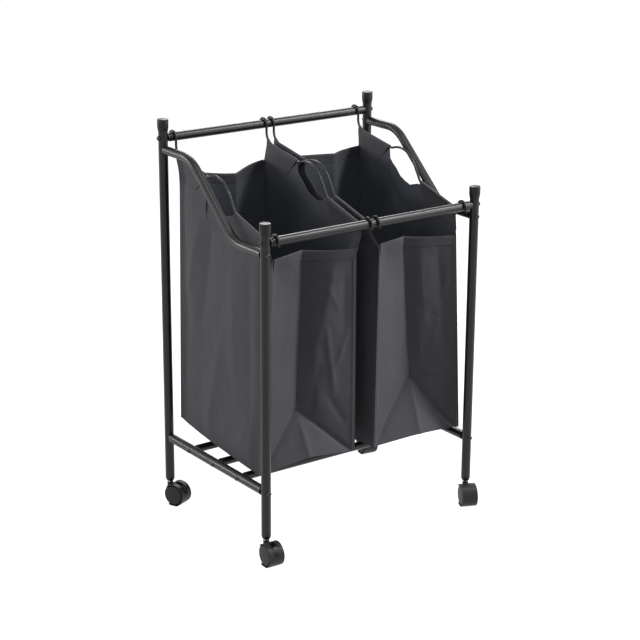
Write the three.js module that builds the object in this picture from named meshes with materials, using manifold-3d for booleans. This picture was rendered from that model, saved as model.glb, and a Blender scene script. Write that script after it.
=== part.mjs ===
// A rolling laundry hamper: a bolted steel tube frame on four twin-wheel casters, carrying two
// cloth bags that hang by wire hangers from a front and a rear rod. Millimetres, +Z up.
import * as THREE from "three";
import Module from "manifold-3d";
import { mergeVertices } from "three/addons/utils/BufferGeometryUtils.js";

const wasm = await Module();
wasm.setup();

// Overall stance of the frame
const UPRIGHT_SPAN_X = 505; // between the upright axes, left to right
const UPRIGHT_SPAN_Y = 356; // between the upright axes, front to rear
const FRONT_HEIGHT = 681.5; // floor to the top of a front end cap
const REAR_HEIGHT = 815; // floor to the top of a rear end cap
const ROD_DROP = 38; // a hanging rod's axis below the top of the cap beside it
const SIDE_TUBE_DROP = 23; // the side tube's axis below the axis of the rod beside it
const LOWER_RAIL_HEIGHT = 146; // axis of the lower rails and of the bottom bars
const BAR_PITCH = 88; // between neighbouring bottom bars

// Tubes
const UPRIGHT_DIAMETER = 19;
const UPRIGHT_WALL = 1.2;
const ROD_DIAMETER = 18;
const SIDE_TUBE_DIAMETER = 17.5;
const LOWER_TUBE_DIAMETER = 16;
const CROSS_TUBE_WALL = 1.2;
const SIDE_BEND_RADIUS = 75;
const SIDE_SLOPE_RUN_Y = 152; // from bend corner to bend corner, front to rear
const PLUG_LENGTH = 15; // threaded plug in each end of a cross tube
const SWAGE_HEIGHT = 6; // rounded-in lower end of an upright
const SWAGE_DIAMETER = 14.4;

// End caps
const CAP_DIAMETER = 22.6;
const CAP_HEIGHT = 24;
const CAP_TOP_THICKNESS = 3;
const CAP_EDGE = 1.2;
const CAP_TAPER_HEIGHT = 6;

// Screws
const SCREW_DIAMETER = 4.8;
const SCREW_HEAD_DIAMETER = 9.6;
const SCREW_HEAD_HEIGHT = 3.2;
const SCREW_REACH = 11; // shank inside a plug
const SCREW_CLEARANCE = 0.5;

// Casters
const WHEEL_DIAMETER = 45;
const CASTER_WIDTH = 32;
const CASTER_TRAIL = 17.5;
const STEM_RISE = 4; // from the top of the wheels to the foot of the upright
const TREAD_WIDTH = 3.3; // tyre ring outside the hood
const TREAD_CHAMFER = 1.4;
const WHEEL_DISH = 0.9;
const DISH_DIAMETER = 34;
const WHEEL_CORE_DIAMETER = 37;
const WHEEL_FACE_THICKNESS = 3;
const HOOD_DIAMETER = 44.4;
const HOOD_WALL = 2.6;
const WEB_THICKNESS = 4.8;
const HUB_DIAMETER = 13;
const BOSS_DIAMETER = 12.4;
const BOSS_TOP_BELOW_UPRIGHT = 2.5;
const AXLE_DIAMETER = 4.8;
const STEM_DIAMETER = 8;
const STEM_FLANGE_DIAMETER = 11;
const STEM_FLANGE_HEIGHT = 2.2;
const STEM_DEPTH_IN_BOSS = 8;
const STEM_DEPTH_IN_SOCKET = 31;
const SOCKET_LENGTH = 34;

// Brake levers
const LEVER_PIVOT_RADIUS = 13; // from the axle's axis
const LEVER_HUB_DIAMETER = 6.6;
const LEVER_PIN_DIAMETER = 3;
const LEVER_THICKNESS = 2.4;
const LEVER_PAD_WIDTH = 10;
const LEVER_PAD_THICKNESS = 2;
const LEVER_PAD_LIFT = 1; // pad above the hood's surface
const LEVER_ARM_HEIGHT = 4;

// Bags and hangers
const BAG_WALL = 2;
const OUTER_HANGER_INSET = 27.5; // an outer hanger's wire from the axis of the uprights beside it
const BAG_GAP_AT_TOP = 18; // between the inner hangers of the two bags
const HANGERS_SLIDE_X = -5; // both bags have slid to the left along the rods
const BAG_BOTTOM_INSET = 16.5; // a bag's bottom edge from the axis of the uprights beside it
const BAG_GAP_AT_BOTTOM = 40;
const BAG_TOP_INSET_Y = 15; // a bag's front and rear walls inside the uprights' axes at the top
const BAG_FRONT_INSET_Y = 32; // the same at the bottom, at the front
const BAG_REAR_INSET_Y = 16; // and at the rear
const FRONT_HEM_BELOW_ROD = 52.5;
const REAR_HEM_BELOW_ROD = 73;
const HEM_DIP = 4; // a folded-in crease's top below its corners
const FOLD_DEPTH_TOP = 42; // how far the front and rear walls fold in
const FOLD_DEPTH_APEX = 46;
const FOLD_APEX_HEIGHT = 114; // above the bag's bottom
const WIRE_DIAMETER = 5;
const HOOK_TIP_DROP = 9; // outer end of a hook below the rod's axis
const REAR_SHANK_DROP = 36; // corner under the rear hook, below the rod's axis
const FRONT_SHANK_DROP = 11.5;
const HANDLE_REAR_Y = 50; // where the bare handle arch starts
const HANDLE_CREST_Y = -2;
const HANDLE_FRONT_Y = -46; // where the arch ends
const HANDLE_REAR_RISE = 18; // above the straight line between the hanger's two shanks
const HANDLE_CREST_RISE = 47.2;
const HANDLE_FRONT_SAG = 4.4; // below that line
const HAND_HOLE_DROP = 16; // the hole's lowest point below the handle's front end
const SHANK_BEND = 26;
const ARCH_START_BEND = 20;
const ARCH_CREST_BEND = 36;
const ARCH_END_BEND = 12;
const FRONT_SHANK_BEND = 7.5;

const CLEARANCE = 0.3; // between pieces that touch
const OVERRUN = 8; // a cutting tool past what it cuts

// Headings of the casters, turned from straight-ahead trailing
const CASTER_HEADING_DEGREES = { front_left: -2.5, rear_left: 23.5, front_right: -24, rear_right: -8 };
const BRAKED = ["front_left", "rear_left"];

// Counts of facets
const TUBE_SIDES = 16;
const SMALL_SIDES = 8;
const WHEEL_SIDES = 16; // a multiple of four, so that a facet lies on the floor
const WIRE_SIDES = 6;
const STEM_SIDES = 10;
const HOOD_ARC_STEPS = 9;
const PAD_ARC_STEPS = 4;
const BEND_STEPS = 3;

// Angles of the caster hood, from the stem's side over the top to the trailing side
const HOOD_START = THREE.MathUtils.degToRad(-8);
const HOOD_END = THREE.MathUtils.degToRad(190);
const LEVER_PIVOT_ANGLE = THREE.MathUtils.degToRad(150);
const PAD_START = THREE.MathUtils.degToRad(150);
const PAD_END = THREE.MathUtils.degToRad(176);
const SLOT_START = THREE.MathUtils.degToRad(141);
const SLOT_END = THREE.MathUtils.degToRad(186);

// The hand hole's lower edge: along the handle from its rear to its front end, and up from the
// hole's lowest point to the handle's rear end
const HAND_HOLE_SHARES = [[-0.07, 0.55], [0.13, 0.22], [0.38, 0.05], [0.6, 0], [0.85, 0.1]];

// Places that follow from the sizes
const uprightX = UPRIGHT_SPAN_X / 2;
const uprightY = UPRIGHT_SPAN_Y / 2;
const uprightFoot = WHEEL_DIAMETER + STEM_RISE;
const frontRodZ = FRONT_HEIGHT - ROD_DROP;
const rearRodZ = REAR_HEIGHT - ROD_DROP;
const sideFrontZ = frontRodZ - SIDE_TUBE_DROP;
const sideRearZ = rearRodZ - SIDE_TUBE_DROP;
const copeAtUpright = UPRIGHT_DIAMETER / 2 + CLEARANCE;
const screwHoleRadius = SCREW_DIAMETER / 2 + SCREW_CLEARANCE;
const axleZ = WHEEL_DIAMETER / 2;
const bagFloorZ = LOWER_RAIL_HEIGHT + LOWER_TUBE_DIAMETER / 2 + CLEARANCE;
const hookRadius = ROD_DIAMETER / 2 + CLEARANCE + WIRE_DIAMETER / 2;
const bagTopY = uprightY - BAG_TOP_INSET_Y;
const innerHangerX = BAG_GAP_AT_TOP / 2;
const outerHangerX = uprightX - OUTER_HANGER_INSET;

const materials = {
  frame: new THREE.MeshStandardMaterial({ color: 0x1d1d1f, roughness: 0.38, metalness: 0.35 }),
  cap: new THREE.MeshStandardMaterial({ color: 0x222224, roughness: 0.45, metalness: 0 }),
  screw: new THREE.MeshStandardMaterial({ color: 0x2a2a2c, roughness: 0.35, metalness: 0.8 }),
  wire: new THREE.MeshStandardMaterial({ color: 0x1b1b1e, roughness: 0.35, metalness: 0.4 }),
  cloth: new THREE.MeshStandardMaterial({ color: 0x3a393d, roughness: 0.9, metalness: 0 }),
  hood: new THREE.MeshStandardMaterial({ color: 0x2c2c2d, roughness: 0.5, metalness: 0 }),
  wheel: new THREE.MeshStandardMaterial({ color: 0x202021, roughness: 0.55, metalness: 0 }),
  steel: new THREE.MeshStandardMaterial({ color: 0xb9bbbd, roughness: 0.3, metalness: 1 }),
  socket: new THREE.MeshStandardMaterial({ color: 0x19191a, roughness: 0.6, metalness: 0 }),
};

// A closed three.js geometry as a solid that can be cut and joined
function solid(geometry) {
  geometry.deleteAttribute("normal");
  geometry.deleteAttribute("uv");
  const merged = mergeVertices(geometry);
  return new wasm.Manifold(
    new wasm.Mesh({
      numProp: 3,
      vertProperties: merged.attributes.position.array,
      triVerts: new Uint32Array(merged.index.array),
    }),
  );
}

function geometryOf(made) {
  const mesh = made.getMesh();
  const geometry = new THREE.BufferGeometry();
  geometry.setAttribute("position", new THREE.BufferAttribute(mesh.vertProperties, 3));
  geometry.setIndex(new THREE.BufferAttribute(mesh.triVerts, 1));
  geometry.computeVertexNormals();
  return geometry;
}

function piece(name, made, material) {
  const mesh = new THREE.Mesh(made.isBufferGeometry ? made : geometryOf(made), material);
  mesh.name = name;
  return mesh;
}

// Round bar along Z, centred on the origin
function bar(radius, length, sides) {
  return new THREE.CylinderGeometry(radius, radius, length, sides).rotateX(Math.PI / 2);
}

const alongX = (geometry) => geometry.rotateY(Math.PI / 2);
const alongY = (geometry) => geometry.rotateX(Math.PI / 2);

// Turned shape about Z from [radius, height] points, anticlockwise with the radius to the right
function turned(profile, sides) {
  const points = profile.map(([r, z]) => new THREE.Vector2(r, z));
  return new THREE.LatheGeometry(points, sides).rotateX(Math.PI / 2);
}

const ring = (profile, sides) => turned([...profile, profile[0]], sides);

// A flat outline in the (Y, Z) plane given a thickness along X, centred on X = 0
function acrossX(shape, thickness, curveSegments = HOOD_ARC_STEPS) {
  const yzx = new THREE.Matrix4().makeBasis(
    new THREE.Vector3(0, 1, 0),
    new THREE.Vector3(0, 0, 1),
    new THREE.Vector3(1, 0, 0),
  );
  const plate = new THREE.ExtrudeGeometry(shape, { depth: thickness, bevelEnabled: false, curveSegments });
  return plate.translate(0, 0, -thickness / 2).applyMatrix4(yzx);
}

function outline(points) {
  return new THREE.Shape(points.map(([a, b]) => new THREE.Vector2(a, b)));
}

// A route of straight runs joined by round bends, with stations only at its ends and along its bends
class BentRoute extends THREE.Curve {
  constructor(corners, radii) {
    super();
    this.stations = [];
    const points = corners.map(([y, z]) => new THREE.Vector3(0, y, z));
    const add = (place, heading) => this.stations.push({ place, heading: heading.clone().normalize() });
    add(points[0], points[1].clone().sub(points[0]));
    radii.forEach((radius, i) => {
      const corner = points[i + 1];
      const before = corner.clone().sub(points[i]).normalize();
      const after = points[i + 2].clone().sub(corner).normalize();
      const turn = before.angleTo(after);
      const start = corner.clone().addScaledVector(before, -radius * Math.tan(turn / 2));
      const inward = after.clone().addScaledVector(before, -after.dot(before)).normalize();
      const centre = start.clone().addScaledVector(inward, radius);
      for (let k = 0; k <= BEND_STEPS; k++) {
        const angle = (turn * k) / BEND_STEPS;
        const place = centre
          .clone()
          .addScaledVector(inward, -radius * Math.cos(angle))
          .addScaledVector(before, radius * Math.sin(angle));
        const heading = before
          .clone()
          .multiplyScalar(Math.cos(angle))
          .addScaledVector(inward, Math.sin(angle));
        if (place.distanceTo(this.stations.at(-1).place) > CLEARANCE) add(place, heading);
      }
    });
    add(points.at(-1), points.at(-1).clone().sub(points.at(-2)));
  }

  get steps() {
    return this.stations.length - 1;
  }

  getUtoTmapping(u) {
    return u;
  }

  getPoint(t) {
    return this.stations[Math.round(t * this.steps)].place.clone();
  }

  getTangent(t) {
    return this.stations[Math.round(t * this.steps)].heading.clone();
  }
}

function sectionOf(radius, sides) {
  const corners = Array.from({ length: sides }, (_, i) => {
    const angle = (2 * Math.PI * i) / sides;
    return [radius * Math.cos(angle), radius * Math.sin(angle)];
  });
  return outline(corners);
}

function sweep(route, radius, sides) {
  return new THREE.ExtrudeGeometry(sectionOf(radius, sides), { steps: route.steps, extrudePath: route });
}

// Uprights: a tube rounded in at its foot, drilled through for the screws of the tubes that meet it
function upright(height, holes) {
  const radius = UPRIGHT_DIAMETER / 2;
  const bore = radius - UPRIGHT_WALL;
  const foot = SWAGE_DIAMETER / 2;
  const shoulder = (radius + foot) / 2 + (radius - foot) / 4;
  const tube = solid(
    ring(
      [
        [foot, 0],
        [shoulder, SWAGE_HEIGHT / 3],
        [radius, SWAGE_HEIGHT],
        [radius, height],
        [bore, height],
        [bore, SWAGE_HEIGHT],
        [foot - UPRIGHT_WALL, 0],
      ],
      TUBE_SIDES,
    ),
  );
  return holes.reduce((made, { z, turn }) => {
    const drill = bar(screwHoleRadius, UPRIGHT_DIAMETER + OVERRUN, SMALL_SIDES);
    return made.subtract(solid(turn(drill).translate(0, 0, z)));
  }, tube);
}

function endCap() {
  const radius = CAP_DIAMETER / 2;
  const bore = UPRIGHT_DIAMETER / 2 + CLEARANCE;
  return turned(
    [
      [0, CAP_HEIGHT - CAP_TOP_THICKNESS],
      [bore, CAP_HEIGHT - CAP_TOP_THICKNESS],
      [bore, 0],
      [bore + CAP_EDGE / 2, 0],
      [radius, CAP_TAPER_HEIGHT],
      [radius, CAP_HEIGHT - CAP_EDGE],
      [radius - CAP_EDGE, CAP_HEIGHT],
      [0, CAP_HEIGHT],
    ],
    TUBE_SIDES,
  );
}

// A hollow straight tube along X that butts against a tube at each end, where it has a drilled plug
function crossTube(span, diameter, neighbourRadius, turnNeighbour) {
  const cope = neighbourRadius + CLEARANCE;
  const boreLength = span - 2 * (cope + PLUG_LENGTH);
  const bore = alongX(bar(diameter / 2 - CROSS_TUBE_WALL, boreLength, TUBE_SIDES));
  const drill = alongX(bar(screwHoleRadius, span, SMALL_SIDES));
  let made = solid(alongX(bar(diameter / 2, span, TUBE_SIDES)))
    .subtract(solid(bore))
    .subtract(solid(drill));
  for (const side of [-1, 1]) {
    const neighbour = turnNeighbour(bar(cope, diameter + OVERRUN, TUBE_SIDES));
    made = made.subtract(solid(neighbour.translate((side * span) / 2, 0, 0)));
  }
  return made;
}

const sideCorners = (inset) => [
  [uprightY - inset, sideRearZ],
  [SIDE_SLOPE_RUN_Y / 2, sideRearZ],
  [-SIDE_SLOPE_RUN_Y / 2, sideFrontZ],
  [-uprightY + inset, sideFrontZ],
];

// The S-shaped tube that joins a rear and a front upright
function sideTube() {
  const bends = [SIDE_BEND_RADIUS, SIDE_BEND_RADIUS];
  const outer = new BentRoute(sideCorners(0), bends);
  const inner = new BentRoute(sideCorners(copeAtUpright + PLUG_LENGTH), bends);
  let made = solid(sweep(outer, SIDE_TUBE_DIAMETER / 2, TUBE_SIDES)).subtract(
    solid(sweep(inner, SIDE_TUBE_DIAMETER / 2 - CROSS_TUBE_WALL, TUBE_SIDES)),
  );
  for (const [y, z] of [[uprightY, sideRearZ], [-uprightY, sideFrontZ]]) {
    const cope = bar(copeAtUpright, SIDE_TUBE_DIAMETER + OVERRUN, TUBE_SIDES);
    const drillLength = 2 * (copeAtUpright + PLUG_LENGTH) + OVERRUN;
    const drill = alongY(bar(screwHoleRadius, drillLength, SMALL_SIDES));
    made = made
      .subtract(solid(cope.translate(0, y, z)))
      .subtract(solid(drill.translate(0, y, z)));
  }
  return made;
}

// Pan-head screw along Z: the head's seat is at zero and the shank points down
function screw() {
  const length = 2 * copeAtUpright + SCREW_REACH;
  const head = SCREW_HEAD_DIAMETER / 2;
  const shank = SCREW_DIAMETER / 2;
  return turned(
    [
      [0, -length],
      [shank, -length],
      [shank, 0],
      [head, 0],
      [head, SCREW_HEAD_HEIGHT / 2],
      [head / 2, SCREW_HEAD_HEIGHT],
      [0, SCREW_HEAD_HEIGHT],
    ],
    SMALL_SIDES,
  );
}

// Places in the caster's side plane: Y from the axle towards the stem, Z up from the axle
const polar = (radius, angle) => [radius * Math.cos(angle), radius * Math.sin(angle)];

function sector(outerRadius, innerRadius, from, to) {
  const shape = new THREE.Shape();
  shape.absarc(0, 0, outerRadius, from, to, false);
  shape.absarc(0, 0, innerRadius, to, from, true);
  return shape;
}

const atAxle = (geometry) => geometry.translate(0, -CASTER_TRAIL, axleZ);

const leverPivot = polar(LEVER_PIVOT_RADIUS, LEVER_PIVOT_ANGLE);
const pocketDepth = LEVER_THICKNESS + 2 * CLEARANCE;
// Angle that the lever's hub takes up beside its pivot
const leverSpread = Math.asin((LEVER_HUB_DIAMETER / 2 + CLEARANCE) / LEVER_PIVOT_RADIUS);
const hoodWidth = CASTER_WIDTH - 2 * (TREAD_WIDTH + CLEARANCE);

// Caster housing: a curved hood over both wheels, a middle web with the axle hub, and the stem's boss
function casterHood(braked) {
  const outside = HOOD_DIAMETER / 2;
  const inside = outside - HOOD_WALL;
  const bossTop = uprightFoot - BOSS_TOP_BELOW_UPRIGHT;
  const bossHeight = bossTop - axleZ;
  const wheelRoom = inside - CLEARANCE;
  const webShape = sector(inside + HOOD_WALL / 2, HUB_DIAMETER / 4, HOOD_START, HOOD_END);
  const web = acrossX(webShape, WEB_THICKNESS);
  const hub = alongX(bar(HUB_DIAMETER / 2, WEB_THICKNESS, TUBE_SIDES));
  let boss = solid(
    bar(BOSS_DIAMETER / 2, bossHeight, TUBE_SIDES).translate(0, 0, bossTop - bossHeight / 2),
  );
  const room = (CASTER_WIDTH - WEB_THICKNESS) / 2;
  for (const side of [-1, 1]) {
    const wheelSpace = alongX(bar(wheelRoom, room, WHEEL_SIDES));
    const x = (side * (WEB_THICKNESS + room)) / 2;
    boss = boss.subtract(solid(atAxle(wheelSpace).translate(x, 0, 0)));
  }
  let made = solid(atAxle(acrossX(sector(outside, inside, HOOD_START, HOOD_END), hoodWidth)))
    .add(solid(atAxle(web)))
    .add(solid(atAxle(hub)))
    .add(boss);
  const stemBore = bar(STEM_DIAMETER / 2 + CLEARANCE, STEM_DEPTH_IN_BOSS + OVERRUN, STEM_SIDES);
  const boreCentre = bossTop - STEM_DEPTH_IN_BOSS + (STEM_DEPTH_IN_BOSS + OVERRUN) / 2;
  const axleHole = alongX(bar(AXLE_DIAMETER / 2 + CLEARANCE, CASTER_WIDTH, STEM_SIDES));
  made = made.subtract(solid(stemBore.translate(0, 0, boreCentre))).subtract(solid(atAxle(axleHole)));
  if (!braked) return made;
  const slotWidth = LEVER_PAD_WIDTH + 2 * SCREW_CLEARANCE;
  const slot = acrossX(sector(outside + OVERRUN, inside - CLEARANCE, SLOT_START, SLOT_END), slotWidth);
  const pocketRoot = LEVER_PIVOT_RADIUS - LEVER_HUB_DIAMETER / 2 - CLEARANCE;
  const pocketSector = sector(inside + HOOD_WALL, pocketRoot, SLOT_START - leverSpread, SLOT_END);
  const pocket = acrossX(pocketSector, pocketDepth);
  const skin = WEB_THICKNESS / 2 - pocketDepth;
  const pinLength = pocketDepth - CLEARANCE;
  const pin = alongX(bar(LEVER_PIN_DIAMETER / 2, pinLength + CLEARANCE, SMALL_SIDES));
  pin.translate(skin + (pinLength - CLEARANCE) / 2, ...leverPivot);
  return made
    .subtract(solid(atAxle(slot)))
    .subtract(solid(atAxle(pocket.translate(WEB_THICKNESS / 2 - pocketDepth / 2, 0, 0))))
    .add(solid(atAxle(pin)));
}

function brakeLever() {
  const outside = HOOD_DIAMETER / 2;
  const padRoot = outside + LEVER_PAD_LIFT;
  const middle = WEB_THICKNESS / 2 - CLEARANCE - LEVER_THICKNESS / 2;
  const padShape = sector(padRoot + LEVER_PAD_THICKNESS, padRoot, PAD_START, PAD_END);
  const pad = acrossX(padShape, LEVER_PAD_WIDTH, PAD_ARC_STEPS);
  const hub = alongX(bar(LEVER_HUB_DIAMETER / 2, LEVER_THICKNESS, STEM_SIDES));
  hub.translate(middle, ...leverPivot);
  const armEnd = polar(padRoot + LEVER_PAD_THICKNESS / 2, (PAD_START + PAD_END) / 2);
  const armLength = Math.hypot(armEnd[0] - leverPivot[0], armEnd[1] - leverPivot[1]);
  const arm = new THREE.BoxGeometry(LEVER_THICKNESS, armLength, LEVER_ARM_HEIGHT);
  arm.rotateX(Math.atan2(armEnd[1] - leverPivot[1], armEnd[0] - leverPivot[0]));
  arm.translate(middle, (armEnd[0] + leverPivot[0]) / 2, (armEnd[1] + leverPivot[1]) / 2);
  const eye = alongX(bar(LEVER_PIN_DIAMETER / 2 + CLEARANCE, WEB_THICKNESS, SMALL_SIDES));
  eye.translate(middle, ...leverPivot);
  return solid(atAxle(pad))
    .add(solid(atAxle(hub)))
    .add(solid(atAxle(arm)))
    .subtract(solid(atAxle(eye)));
}

// A wheel on the +X side of its caster: a dished face, a tyre ring outside the hood and a core under it
function wheel() {
  const flat = Math.cos(Math.PI / WHEEL_SIDES); // the tyre rests on a facet
  const tyre = WHEEL_DIAMETER / 2 / flat;
  const face = CASTER_WIDTH / 2;
  const tyreInner = face - TREAD_WIDTH;
  const coreInner = WEB_THICKNESS / 2 + CLEARANCE;
  const bore = AXLE_DIAMETER / 2 + CLEARANCE;
  const profile = [
    [0, face - WHEEL_FACE_THICKNESS],
    [bore, face - WHEEL_FACE_THICKNESS],
    [bore, coreInner],
    [WHEEL_CORE_DIAMETER / 2, coreInner],
    [WHEEL_CORE_DIAMETER / 2, tyreInner],
    [tyre, tyreInner],
    [tyre, face - TREAD_CHAMFER],
    [tyre - TREAD_CHAMFER, face],
    [DISH_DIAMETER / 2, face],
    [DISH_DIAMETER / 2 - WHEEL_DISH, face - WHEEL_DISH],
    [0, face - WHEEL_DISH],
  ];
  return turned(profile, WHEEL_SIDES).rotateZ(Math.PI / WHEEL_SIDES).rotateY(Math.PI / 2);
}

function stem() {
  const radius = STEM_DIAMETER / 2;
  const flange = STEM_FLANGE_DIAMETER / 2;
  const bossTop = uprightFoot - BOSS_TOP_BELOW_UPRIGHT;
  const flangeFoot = bossTop + CLEARANCE;
  const top = uprightFoot + SWAGE_HEIGHT + STEM_DEPTH_IN_SOCKET;
  return turned(
    [
      [0, bossTop - STEM_DEPTH_IN_BOSS + CLEARANCE],
      [radius, bossTop - STEM_DEPTH_IN_BOSS + CLEARANCE],
      [radius, flangeFoot],
      [flange, flangeFoot],
      [flange, flangeFoot + STEM_FLANGE_HEIGHT],
      [radius, flangeFoot + STEM_FLANGE_HEIGHT],
      [radius, top - radius / 2],
      [radius / 2, top],
      [0, top],
    ],
    STEM_SIDES,
  );
}

function stemSocket() {
  const outside = UPRIGHT_DIAMETER / 2 - UPRIGHT_WALL - CLEARANCE;
  const inside = STEM_DIAMETER / 2 + CLEARANCE;
  return ring(
    [
      [inside, 0],
      [outside, 0],
      [outside, SOCKET_LENGTH],
      [inside, SOCKET_LENGTH],
    ],
    TUBE_SIDES,
  );
}

// Height of the straight line between the feet of a hanger's two shanks
function shankLine(y) {
  const reach = uprightY - hookRadius;
  const foot = frontRodZ - FRONT_SHANK_DROP;
  return foot + ((rearRodZ - REAR_SHANK_DROP - foot) * (y + reach)) / (2 * reach);
}

// The corners of one hanger's wire in its side plane, from the rear hook's tip to the front hook's
const hangerCorners = [
  [uprightY + hookRadius, rearRodZ - HOOK_TIP_DROP],
  [uprightY + hookRadius, rearRodZ + hookRadius],
  [uprightY - hookRadius, rearRodZ + hookRadius],
  [uprightY - hookRadius, rearRodZ - REAR_SHANK_DROP],
  [HANDLE_REAR_Y, shankLine(HANDLE_REAR_Y) + HANDLE_REAR_RISE],
  [HANDLE_CREST_Y, shankLine(HANDLE_CREST_Y) + HANDLE_CREST_RISE],
  [HANDLE_FRONT_Y, shankLine(HANDLE_FRONT_Y) - HANDLE_FRONT_SAG],
  [-uprightY + hookRadius, frontRodZ - FRONT_SHANK_DROP],
  [-uprightY + hookRadius, frontRodZ + hookRadius],
  [-uprightY - hookRadius, frontRodZ + hookRadius],
  [-uprightY - hookRadius, frontRodZ - HOOK_TIP_DROP],
];

function hanger() {
  const bends = [
    hookRadius,
    hookRadius,
    SHANK_BEND,
    ARCH_START_BEND,
    ARCH_CREST_BEND,
    ARCH_END_BEND,
    FRONT_SHANK_BEND,
    hookRadius,
    hookRadius,
  ];
  return sweep(new BentRoute(hangerCorners, bends), WIRE_DIAMETER / 2, WIRE_SIDES);
}

// The closed hull of one bag on the +X side, drawn in by its wall when inset is that wall. Its top
// has slid outwards along the rods by slide.
function bagHull(inset, top, slide) {
  const bottomNear = BAG_GAP_AT_BOTTOM / 2;
  const bottomFar = uprightX - BAG_BOTTOM_INSET;
  const topNear = innerHangerX + slide - BAG_WALL / 2;
  const topFar = outerHangerX + slide + BAG_WALL / 2;
  const bottomFront = uprightY - BAG_FRONT_INSET_Y;
  const bottomRear = uprightY - BAG_REAR_INSET_Y;
  const bottomMid = (bottomNear + bottomFar) / 2;
  const topMid = (topNear + topFar) / 2;
  const floor = bagFloorZ + inset;
  const apex = bagFloorZ + FOLD_APEX_HEIGHT;
  const share = FOLD_APEX_HEIGHT / (top - bagFloorZ);
  const apexMid = bottomMid + (topMid - bottomMid) * share;
  const frontApexY = -bottomFront + FOLD_DEPTH_APEX + inset;
  const rearApexY = bottomRear - FOLD_DEPTH_APEX - inset;
  const corners = [
    [bottomNear + inset, -bottomFront + inset, floor],
    [bottomFar - inset, -bottomFront + inset, floor],
    [bottomFar - inset, bottomRear - inset, floor],
    [bottomNear + inset, bottomRear - inset, floor],
    [apexMid, frontApexY, apex],
    [apexMid, rearApexY, apex],
    [topNear + inset, -bagTopY + inset, top],
    [topFar - inset, -bagTopY + inset, top],
    [topFar - inset, bagTopY - inset, top],
    [topNear + inset, bagTopY - inset, top],
    [topMid, -bagTopY + FOLD_DEPTH_TOP + inset, top],
    [topMid, bagTopY - FOLD_DEPTH_TOP - inset, top],
  ];
  const faces = [
    [0, 3, 2], [0, 2, 1],
    [0, 1, 4], [0, 4, 10], [0, 10, 6], [4, 1, 7], [4, 7, 10],
    [1, 2, 8], [1, 8, 7],
    [2, 3, 5], [2, 5, 11], [2, 11, 8], [5, 3, 9], [5, 9, 11],
    [3, 0, 6], [3, 6, 9],
    [6, 10, 9], [9, 10, 11], [10, 7, 8], [10, 8, 11],
  ];
  const geometry = new THREE.BufferGeometry();
  geometry.setAttribute("position", new THREE.Float32BufferAttribute(corners.flat(), 3));
  geometry.setIndex(faces.flat());
  return geometry;
}

// A tool that trims the front or rear wall down to its hem, between the side walls
function hemCutter(hemZ, side, slide) {
  const near = innerHangerX + slide + BAG_WALL + CLEARANCE;
  const far = outerHangerX + slide - BAG_WALL - CLEARANCE;
  const above = REAR_HEIGHT + OVERRUN;
  const shape = outline([
    [near, above],
    [near, hemZ],
    [(near + far) / 2, hemZ - HEM_DIP],
    [far, hemZ],
    [far, above],
  ]);
  const depth = bagTopY;
  const plate = new THREE.ExtrudeGeometry(shape, { depth, bevelEnabled: false });
  plate.rotateX(Math.PI / 2);
  const outer = side * (bagTopY + OVERRUN);
  return plate.translate(0, side > 0 ? outer : outer + depth, 0);
}

// The side walls' top edge under the hanger, with the hand hole under the handle arch
function bagTopCutter() {
  const under = WIRE_DIAMETER / 2 + 2 * CLEARANCE;
  const [, , , shank, archStart, , archEnd, frontShank] = hangerCorners;
  const holeFloor = archEnd[1] - HAND_HOLE_DROP;
  const holeEdge = HAND_HOLE_SHARES.map(([along, up]) => [
    archStart[0] + (archEnd[0] - archStart[0]) * along,
    holeFloor + (archStart[1] - holeFloor) * up,
  ]);
  const above = REAR_HEIGHT + OVERRUN;
  const shape = outline([
    [uprightY, above],
    [uprightY, shank[1] - under],
    [shank[0], shank[1] - under],
    [archStart[0], archStart[1] - under],
    ...holeEdge,
    [archEnd[0], archEnd[1] - under],
    [frontShank[0], frontShank[1] - under],
    [-uprightY, frontShank[1] - under],
    [-uprightY, above],
  ]);
  return acrossX(shape, UPRIGHT_SPAN_X);
}

function bag(slide) {
  const top = rearRodZ - REAR_SHANK_DROP;
  return solid(bagHull(0, top, slide))
    .subtract(solid(bagHull(BAG_WALL, top, slide)))
    .subtract(solid(hemCutter(frontRodZ - FRONT_HEM_BELOW_ROD, -1, slide)))
    .subtract(solid(hemCutter(rearRodZ - REAR_HEM_BELOW_ROD, 1, slide)))
    .subtract(solid(bagTopCutter()));
}

const hamper = new THREE.Group();
const frame = new THREE.Group();
hamper.add(frame);

const columns = [
  ["left", -1],
  ["right", 1],
];
const rows = [
  ["front", -1, FRONT_HEIGHT, frontRodZ, sideFrontZ],
  ["rear", 1, REAR_HEIGHT, rearRodZ, sideRearZ],
];

function place(mesh, x, y, z) {
  mesh.position.set(x, y, z);
  frame.add(mesh);
  return mesh;
}

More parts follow.
